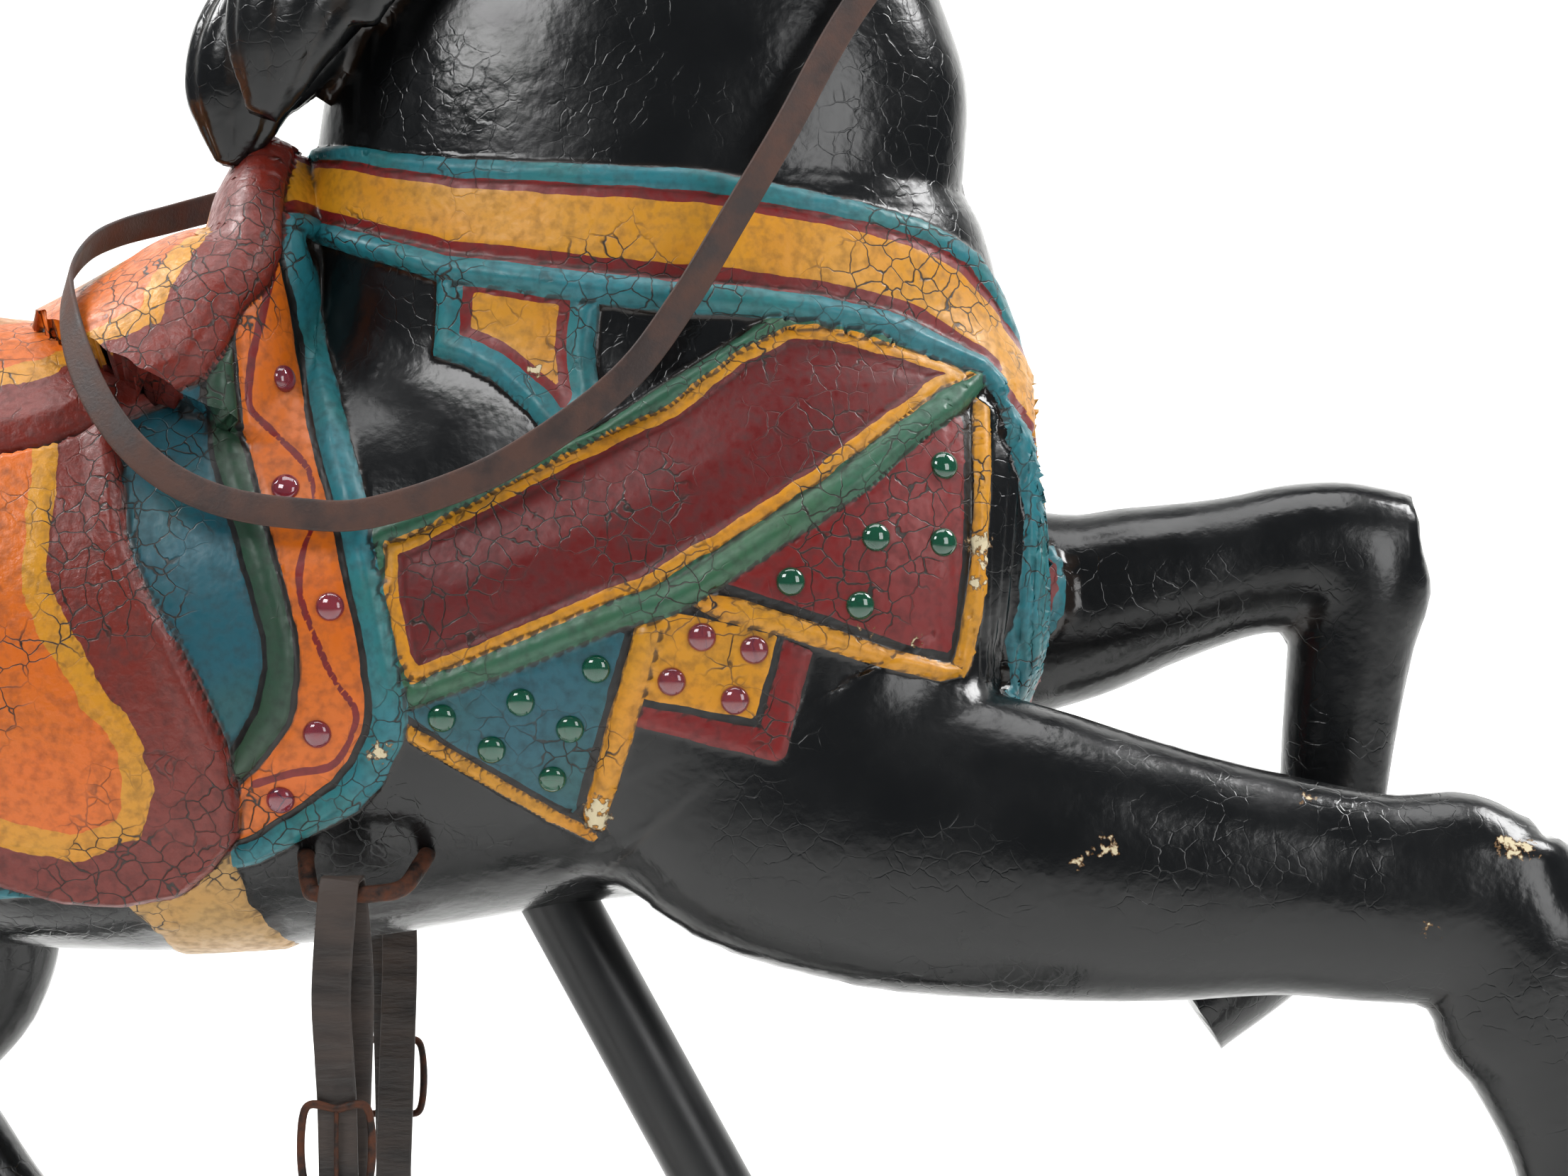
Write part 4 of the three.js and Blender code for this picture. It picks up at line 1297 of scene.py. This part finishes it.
@dataclass
class SteelStand:
    """Two leaning tubes on a flat frame of square tube with two cross feet."""

    radius: float = 25.4
    lean: float = 0.545
    top: tuple[float, float] = (240.0, 620.0)
    bar: float = 40.0
    bar_height: float = 30.0
    foot: float = 620.0
    corner: float = 3.0

    @property
    def foot_x(self) -> float:
        """How far from the middle a tube meets its bar."""
        return self.top[0] + (self.top[1] - self.bar_height / 2) * self.lean

    def square_tube(self, middle: Sequence[float], half: Sequence[float]) -> tuple[np.ndarray, list]:
        """Makes a bar with rounded long edges and chamfered ends.

        The section is a square of half sizes (b, c) with quarter circles of the corner radius; rings
        at the two ends are drawn in by half that radius.
        """
        long = int(np.argmax(half))
        across = [axis for axis in range(3) if axis != long]
        angle = np.linspace(0, 2 * np.pi, 32, endpoint=False) + np.pi / 32
        r = self.corner
        ring = np.zeros((32, 3))
        for axis, turn in zip(across, (np.cos(angle), np.sin(angle))):
            ring[:, axis] = np.sign(turn) * (half[axis] - r) + r * turn
        rows = [(-1, 0.96, 0), (-1, 1, r / 2), (1, 1, r / 2), (1, 0.96, 0)]
        rings = np.zeros((4, 32, 3))
        for number, (end, size, back) in enumerate(rows):
            rings[number] = ring * size
            rings[number, :, long] = end * (half[long] - back)
        return capped(rings + np.asarray(middle))

    def build(self) -> bpy.types.Object:
        """Makes the whole frame as one mesh; the tube rings are square to the tube but for the cut foot."""
        h = self.bar_height / 2
        shells = [self.square_tube((0, 0, h), (self.foot_x, self.bar / 2, h))]
        for way in (-1, 1):
            shells.append(self.square_tube((way * self.foot_x, 0, h), (self.bar / 2, self.foot / 2, h)))
            angle = np.linspace(0, 2 * np.pi, 96, endpoint=False)
            foot, head = np.array([way * self.foot_x, 0, h]), np.array([way * self.top[0], 0, self.top[1]])
            along = unit(head - foot)
            side = np.cross(ACROSS, along)
            rim = self.radius * (np.cos(angle)[:, None] * side + np.sin(angle)[:, None] * ACROSS)
            drop = foot - along * 30 + rim
            cut = np.maximum((2 - drop[:, 2:]) / along[2], 0) * along
            rings = [drop + cut]
            places = np.linspace(0, 1, 9)[1:, None, None]
            rings += list(foot + (head - foot) * places + rim)
            shells.append(capped(np.stack(rings)))
            bead = self.radius + 2.2 + 1.6 * np.cos(np.linspace(0, 2 * np.pi, 8, endpoint=False))
            lift = 1.6 * np.sin(np.linspace(0, 2 * np.pi, 8, endpoint=False))
            around = np.array([np.cos(angle) * 1.13, np.sin(angle) * 0.995, np.zeros(96)]).T
            weld = (
                np.array([way * (self.foot_x - h * self.lean), 0, 2 * h + 0.5])
                + around[:, None] * bead[None, :, None]
                + np.array([0, 0, 1.0]) * lift[None, :, None]
            )
            weld[..., 1] = np.clip(weld[..., 1], -self.radius - 4, self.radius + 4)
            shells.append(capped(weld, True))
        points, faces, first = [], [], 0
        for some, more in shells:
            points.append(some)
            faces += [[number + first for number in face] for face in more]
            first += len(some)
        piece = outward(put_mesh("stand_frame", np.vstack(points), faces))
        piece.data.polygons.foreach_set("use_smooth", np.ones(len(piece.data.polygons), bool))
        edge = piece.modifiers.new("edges", "EDGE_SPLIT")
        edge.split_angle = np.radians(50)
        return dress(piece, STEEL_PAINT.build(), "stand_steel", "stand")


# ---- Straps and iron -------------------------------------------------------------------------


def strap_mesh(
    name: str,
    rows: Sequence,
    width: float,
    thick: float,
    rings: int,
    closed: bool = False,
    waviness: float = 0.0,
) -> bpy.types.Object:
    """Makes a flat strap with rounded edges along a route.

    The section is a superellipse: across w cos k |cos k|^-0.7 and outwards t sin k |sin k|^-0.5.
    waviness adds wrinkles, waviness sin(along) on the outer face.

    Args:
        name: the piece's name.
        rows: x, y, z and the way the outer face looks.
        width: across the strap.
        thick: through it.
        rings: sections along it.
        closed: whether it is a loop.
        waviness: height of the wrinkles.

    Returns:
        The strap.
    """
    sides = 20
    t = np.linspace(0, 1, rings, endpoint=not closed)
    both = spline(rows, t, closed)
    line, out = both[:, :3], both[:, 3:]
    ahead, behind = np.roll(line, -1, 0), np.roll(line, 1, 0)
    if not closed:
        ahead[-1], behind[0] = line[-1], line[0]
    along = unit(ahead - behind)
    out = unit(out - (out * along).sum(1, keepdims=True) * along)
    across = np.cross(along, out)
    angle = np.linspace(0, 2 * np.pi, sides, endpoint=False)
    c, s = np.cos(angle), np.sin(angle)
    wide = width / 2 * np.sign(c) * np.abs(c) ** 0.3
    deep = thick / 2 * np.sign(s) * np.abs(s) ** 0.5
    phase = t[:, None] * rings * 0.9 + 0.6 * np.sin(t[:, None] * 37) + c * 0.7
    ripple = waviness * np.maximum(np.sin(phase), 0) * (s > 0.1)
    shape = line[:, None] + across[:, None] * wide[None, :, None] + out[:, None] * (deep + ripple)[..., None]
    points, faces = capped(shape, closed)
    return outward(put_mesh(name, points, faces))


def rod_shell(path: Sequence, radius: float, rings: int, closed: bool = False, dents: float = 0.0):
    """Gives the points and faces of a bent round bar.

    A circle is carried along the curve in frames turned as little as possible; dents adds
    dents (sin 5t + sin 11k) to its radius, as a hammer leaves.

    Args:
        path: points that the middle passes through.
        radius: of the bar.
        rings: sections along it.
        closed: whether it is a loop.
        dents: how uneven it is.

    Returns:
        The points and the faces.
    """
    sides = 16
    t = np.linspace(0, 1, rings, endpoint=not closed)
    line = spline(path, t, closed)
    ahead, behind = np.roll(line, -1, 0), np.roll(line, 1, 0)
    if not closed:
        ahead[-1], behind[0] = line[-1], line[0]
    along = unit(ahead - behind)
    centre = line.mean(0)
    spread = np.linalg.svd(line - centre)[2][-1]
    normal = unit(spread - (along @ spread)[:, None] * along)
    other = np.cross(along, normal)
    angle = np.linspace(0, 2 * np.pi, sides, endpoint=False)
    size = radius + dents * (np.sin(t[:, None] * 31) + np.sin(angle * 2 + t[:, None] * 57)) * 0.5
    shape = (
        line[:, None]
        + normal[:, None] * (np.cos(angle) * size)[..., None]
        + other[:, None] * (np.sin(angle) * size)[..., None]
    )
    return capped(shape, closed)


def merged(name: str, shells: Sequence[tuple[np.ndarray, list]]) -> bpy.types.Object:
    """Puts several closed shells in one object."""
    points, faces, first = [], [], 0
    for some, more in shells:
        points.append(some)
        faces += [[number + first for number in face] for face in more]
        first += len(some)
    return outward(put_mesh(name, np.vstack(points), faces))


@dataclass
class Rein:
    """The strap from ring to ring, hanging along the neck and lying over the pommel."""

    width: float = 20.0
    thick: float = 3.6
    route: Rows = (
        (554, -70, 1320, 0.8, -0.4, -0.5), (512, -92, 1262, 0.5, -0.8, 0), (450, -122, 1177, 0.6, -0.8, 0),
        (406, -144, 1096, 0.6, -0.8, 0), (376, -152, 1044, 0.5, -0.85, 0), (342, -158, 987, 0.4, -0.9, 0),
        (307, -164, 940, 0.2, -0.95, 0), (257, -170, 900, 0, -1, -0.1), (208, -172, 873, 0, -1, 0),
        (144, -172, 853, 0, -1, 0.1), (99, -172, 853, 0, -1, 0.1), (55, -172, 860, 0, -1, 0.2),
        (20, -170, 875, 0, -1, 0.2), (-8, -164, 898, -0.1, -1, 0.2), (-32, -150, 930, -0.3, -0.9, 0.3),
        (-50, -126, 968, -0.6, -0.7, 0.3), (-60, -90, 1004, -0.9, -0.3, 0.2), (-56, -44, 1030, -1, 0, 0.3),
        (-42, 0, 1046, -1, 0.2, 0.3), (-12, 54, 1062, -0.8, 0.6, 0.2), (34, 104, 1082, -0.4, 0.9, 0.1),
        (110, 134, 1112, -0.1, 1, 0), (210, 142, 1154, 0.1, 1, 0), (330, 128, 1212, 0.2, 1, 0),
        (450, 100, 1272, 0.4, 0.9, 0), (554, 70, 1320, 0.8, 0.4, -0.5),
    )  # fmt: skip

    def build(self) -> None:
        """Makes the strap and the two rings that hold it."""
        rein = strap_mesh("rein_strap", self.route, self.width, self.thick, 420)
        dress(rein, REIN_LEATHER.build(), "rein_leather", "rein")
        iron = RUSTY_IRON.build()
        for side, place in ((NEAR, "near"), (FAR, "far")):
            turn = np.linspace(0, 2 * np.pi, 12, endpoint=False)
            hoop = np.column_stack(
                [np.full(12, 562.0), side * 66 + 15 * np.sin(turn), 1344 + 15 * np.cos(turn)]
            )
            shank = ((562, side * 51, 1344), (562, side * 36, 1344), (562, side * 22, 1344))
            bars = [rod_shell(hoop, 2.8, 48, True), rod_shell(shank, 2.8, 6)]
            ring = merged(f"rein_ring_{place}_iron", bars)
            dress(ring, iron, "iron", f"rein_ring_{place}")


@dataclass
class Stirrup:
    """One side's staple, leather, buckle and iron."""

    side: int
    place: str
    x: float = 138.0
    z: float = 630.0
    span: float = 72.0
    reach: float = 34.0
    sag: float = 18.0
    wood: float = 118.0
    rod: float = 5.6
    loose: float = 1.4
    leather: tuple[float, float] = (25.0, 3.6)
    iron_top: float = 352.0

    @property
    def hang(self) -> float:
        """How far out from the middle plane the leather hangs."""
        return self.wood + self.reach

    def staple(self) -> tuple[np.ndarray, list]:
        """The bent bar whose two ends are in the wood."""
        rows = (
            (-0.56, -18, 0.3), (-0.54, 6, 0.1), (-0.46, 0.86 * self.reach, -0.85), (-0.38, self.reach, -1),
            (-0.16, self.reach, -1), (0.1, self.reach, -1), (0.36, 0.86 * self.reach, -0.8), (0.5, 8, 0),
            (0.52, -18, 0.3),
        )  # fmt: skip
        path = [
            (self.x + a * self.span, self.side * (self.wood + out), self.z + low * self.sag)
            for a, out, low in rows
        ]
        return rod_shell(path, self.rod, 60, dents=0.25)

    def strap(self) -> bpy.types.Object:
        """The closed loop over the staple and under the iron's top bar."""
        width, thick = self.leather
        top, buckle = self.z - self.sag, 468.0
        rise, drop = self.rod + self.loose + thick / 2, 5 + self.loose + thick / 2
        rows = (
            (0, 0, top + rise, 0, 0, 1), (-2, rise, top, 0, 1, 0), (-6, rise + 1, top - 60, 0, 1, 0),
            (-4, rise + 1, buckle + 40, 0, 1, 0), (-2, rise + 1, buckle, 0, 1, 0),
            (0, drop, self.iron_top, 0, 1, 0), (0, 0, self.iron_top - drop, 0, 0, -1),
            (0, -drop, self.iron_top, 0, -1, 0), (4, -rise - 3, buckle, 0, -1, 0),
            (6, -rise - 3, top - 60, 0, -1, 0), (2, -rise, top, 0, -1, 0),
        )  # fmt: skip
        rows = [
            (self.x - 12 + x, self.side * (self.hang + y), z, a, self.side * b, c)
            for x, y, z, a, b, c in rows
        ]
        return strap_mesh(f"stirrup_strap_{self.place}", rows, width, thick, 260, True, 0.5)

    def buckle(self) -> list[tuple[np.ndarray, list]]:
        """The wire frame and the tongue."""
        y = self.hang + self.rod + self.loose + self.leather[1] + 2.6 + 2
        corners = ((-0.5, 0.5), (0, 0.52), (0.5, 0.5), (0.5, -0.5), (0, -0.52), (-0.5, -0.5))
        frame = [(self.x - 14 + 40 * a, self.side * y, 454 + 46 * b) for a, b in corners]
        bend = ((0.5, 24), (1.5, 8), (1, -8), (-0.5, -25))
        tongue = [(self.x - 14, self.side * (y + out), 454 + up) for out, up in bend]
        return [rod_shell(frame, 2.6, 72, True, 0.15), rod_shell(tongue, 1.5, 14)]

    def iron(self) -> list[tuple[np.ndarray, list]]:
        """The slotted head, the arch and the tread with its rounded edges."""
        x, y, floor = self.x - 12, self.side * self.hang, self.iron_top - 150
        shape = ((-0.46, 0), (-0.5, 0.3), (-0.36, 0.72), (0, 1), (0.36, 0.72), (0.5, 0.3), (0.46, 0))
        arch = [(x + 112 * a, y, floor + 124 * b) for a, b in shape]
        head = [
            (x - 19, y, self.iron_top), (x + 19, y, self.iron_top),
            (x + 15, y, self.iron_top - 34), (x - 15, y, self.iron_top - 34),
        ]  # fmt: skip
        bars = [[head[0], head[1]], [head[1], head[2]], [head[0], head[3]]]
        bars = [[a, tuple((np.array(a) + b) / 2), b] for a, b in bars]
        shells = [rod_shell(arch, 5, 90, dents=0.3)] + [rod_shell(path, 5, 8) for path in bars]
        angle = np.linspace(0, 2 * np.pi, 40, endpoint=False)
        c, s = np.cos(angle), np.sin(angle)
        plate = np.column_stack([56 * np.sign(c) * np.abs(c) ** 0.35, 19 * np.sign(s) * np.abs(s) ** 0.35])
        rings = [
            np.column_stack([x + plate[:, 0] * size, y + plate[:, 1] * size, np.full(40, floor + up)])
            for size, up in ((0.96, -4.5), (1, -3), (1, 3), (0.96, 4.5))
        ]
        return shells + [capped(np.stack(rings))]

    def build(self, iron: bpy.types.Material, leather: bpy.types.Material) -> None:
        """Makes and dresses the four pieces."""
        staple = merged(f"staple_{self.place}", [self.staple()])
        dress(staple, iron, "iron", f"stirrup_staple_{self.place}")
        dress(self.strap(), leather, "stirrup_leather", f"stirrup_leather_{self.place}")
        buckle = merged(f"buckle_{self.place}", self.buckle())
        dress(buckle, iron, "iron", f"stirrup_buckle_{self.place}")
        stirrup = merged(f"stirrup_{self.place}", self.iron())
        dress(stirrup, iron, "iron", f"stirrup_iron_{self.place}")


# ---- Jewels ----------------------------------------------------------------------------------


@dataclass
class Jewels:
    """The glass cabochons set in the trappings of the dressed side."""

    horse: CarvedHorse
    radius: float = 9.2
    rise: float = 5.4
    sunk: float = 2.2

    def shells(self, spots: Sequence) -> list[tuple[np.ndarray, list]]:
        """Domes on the finished surface: radius r cos a, height rise sin a above a short straight rim."""
        points, out = self.horse.surface(spots)
        a = np.linspace(0, np.pi / 2, 9)[:-1]
        profile = np.vstack([
            [(self.radius * 0.9, -self.sunk), (self.radius, -self.sunk + 0.5)],
            np.column_stack([self.radius * np.cos(a), self.rise * np.sin(a)]),
        ])
        turn = np.linspace(0, 2 * np.pi, 32, endpoint=False)
        made = []
        for point, normal in zip(points, out):
            first = unit(np.cross(normal, (0, 0, 1.0)))
            second = np.cross(normal, first)
            rim = np.cos(turn)[:, None] * first + np.sin(turn)[:, None] * second
            rings = point + profile[:, :1, None] * rim + profile[:, 1:, None] * normal
            some, more = capped(rings)
            some[-1] = point + self.rise * normal
            made.append((some, more))
        return made

    def build(self) -> None:
        """Makes one object of each colour, standing for that colour's CAD nodes."""
        sets = (
            ("green", GREEN_JEWELS, GREEN_GLASS),
            ("pink", PINK_JEWELS, PINK_GLASS),
        )
        for colour, spots, glass in sets:
            piece = merged(f"{colour}_jewels", self.shells(spots))
            names = [f"{colour}_jewel_{number}" for number in range(1, len(spots) + 1)]
            dress(piece, glass.build(), f"{colour}_glass", *names)


# ---- Studio ----------------------------------------------------------------------------------


@dataclass
class Studio:
    """A white sweep, soft lamps, and the camera level beside the dressed side."""

    eye: tuple[float, float, float] = (0.406, -2.5, 0.806)
    lens: float = 85.0

    def camera(self) -> None:
        """Sets the camera, looking along +Y."""
        data = bpy.data.cameras.new("camera")
        data.lens, data.sensor_width = self.lens, 36.0
        data.clip_end = 60.0
        camera = bpy.data.objects.new("camera", data)
        camera.location = self.eye
        camera.rotation_euler = (np.pi / 2, 0, 0)
        bpy.context.scene.collection.objects.link(camera)
        bpy.context.scene.camera = camera

    def sweep(self) -> None:
        """Makes the floor and backdrop: flat, a quarter turn of radius 1.2 m, then upright."""
        y = np.r_[np.linspace(-9000, 1500, 4), 1500 + 1200 * np.sin(np.linspace(0.1, np.pi / 2, 14)), 2700]
        z = np.r_[np.zeros(4), 1200 - 1200 * np.cos(np.linspace(0.1, np.pi / 2, 14)), 7000]
        x = np.array([-9000.0, 9000.0])
        points = np.stack(np.broadcast_arrays(x[None, :], y[:, None], z[:, None]), -1).reshape(-1, 3)
        row = np.arange(len(y) - 1)[:, None] * 2
        faces = row + np.array([0, 1, 3, 2])
        sweep = put_mesh("paper_sweep", points, faces)
        material, _, shader = new_material("matt_white_paper")
        shader.inputs["Base Color"].default_value = linear("f4f4f2")
        shader.inputs["Roughness"].default_value = 0.95
        sweep.data.materials.append(material)

    def lamp(
        self, name: str, place: Sequence[float], aim: Sequence[float], size: Sequence[float], watts: float
    ) -> None:
        """Hangs a rectangular softbox that points at aim."""
        data = bpy.data.lights.new(name, "AREA")
        data.shape, data.size, data.size_y, data.energy = "RECTANGLE", *size, watts
        lamp = bpy.data.objects.new(name, data)
        lamp.location = place
        lamp.rotation_euler = (Vector(aim) - Vector(place)).to_track_quat("-Z", "Y").to_euler()
        bpy.context.scene.collection.objects.link(lamp)

    def build(self) -> None:
        """Sets everything up."""
        bpy.context.scene.view_settings.view_transform = "Standard"
        self.camera()
        self.sweep()
        self.lamp("key_left", (-1.6, -2.8, 3.0), (0.3, 0, 0.9), (1.6, 1.2), 60)
        self.lamp("fill_right", (2.6, -2.6, 1.6), (0.4, 0, 0.8), (1.2, 1.8), 30)
        self.lamp("top", (0.4, -0.2, 3.6), (0.4, 0, 0.8), (2.4, 1.6), 50)
        self.lamp("backdrop_left", (-2.2, 0.2, 3.4), (-0.6, 2.6, 1.2), (1.6, 1.6), 150)
        self.lamp("backdrop_right", (3.0, 0.2, 3.4), (1.4, 2.6, 1.2), (1.6, 1.6), 150)
        world = bpy.data.worlds.new("studio")
        world.use_nodes = True
        world.node_tree.nodes["Background"].inputs[0].default_value = linear("dfe6ee")
        world.node_tree.nodes["Background"].inputs[1].default_value = 0.22
        bpy.context.scene.world = world


def main() -> None:
    """Builds every piece in order."""
    logging.basicConfig(level=logging.INFO, format="%(name)s: %(message)s")
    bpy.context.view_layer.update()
    Studio().build()
    horse = CarvedHorse()
    piece = horse.build()
    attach(piece, "root")
    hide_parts("horse")
    SteelStand().build()
    Rein().build()
    iron, leather = RUSTY_IRON.build(), STIRRUP_LEATHER.build()
    for side, place in ((NEAR, "near"), (FAR, "far")):
        Stirrup(side, place).build(iron, leather)
    Jewels(horse).build()


if __name__ == "__main__":
    main()
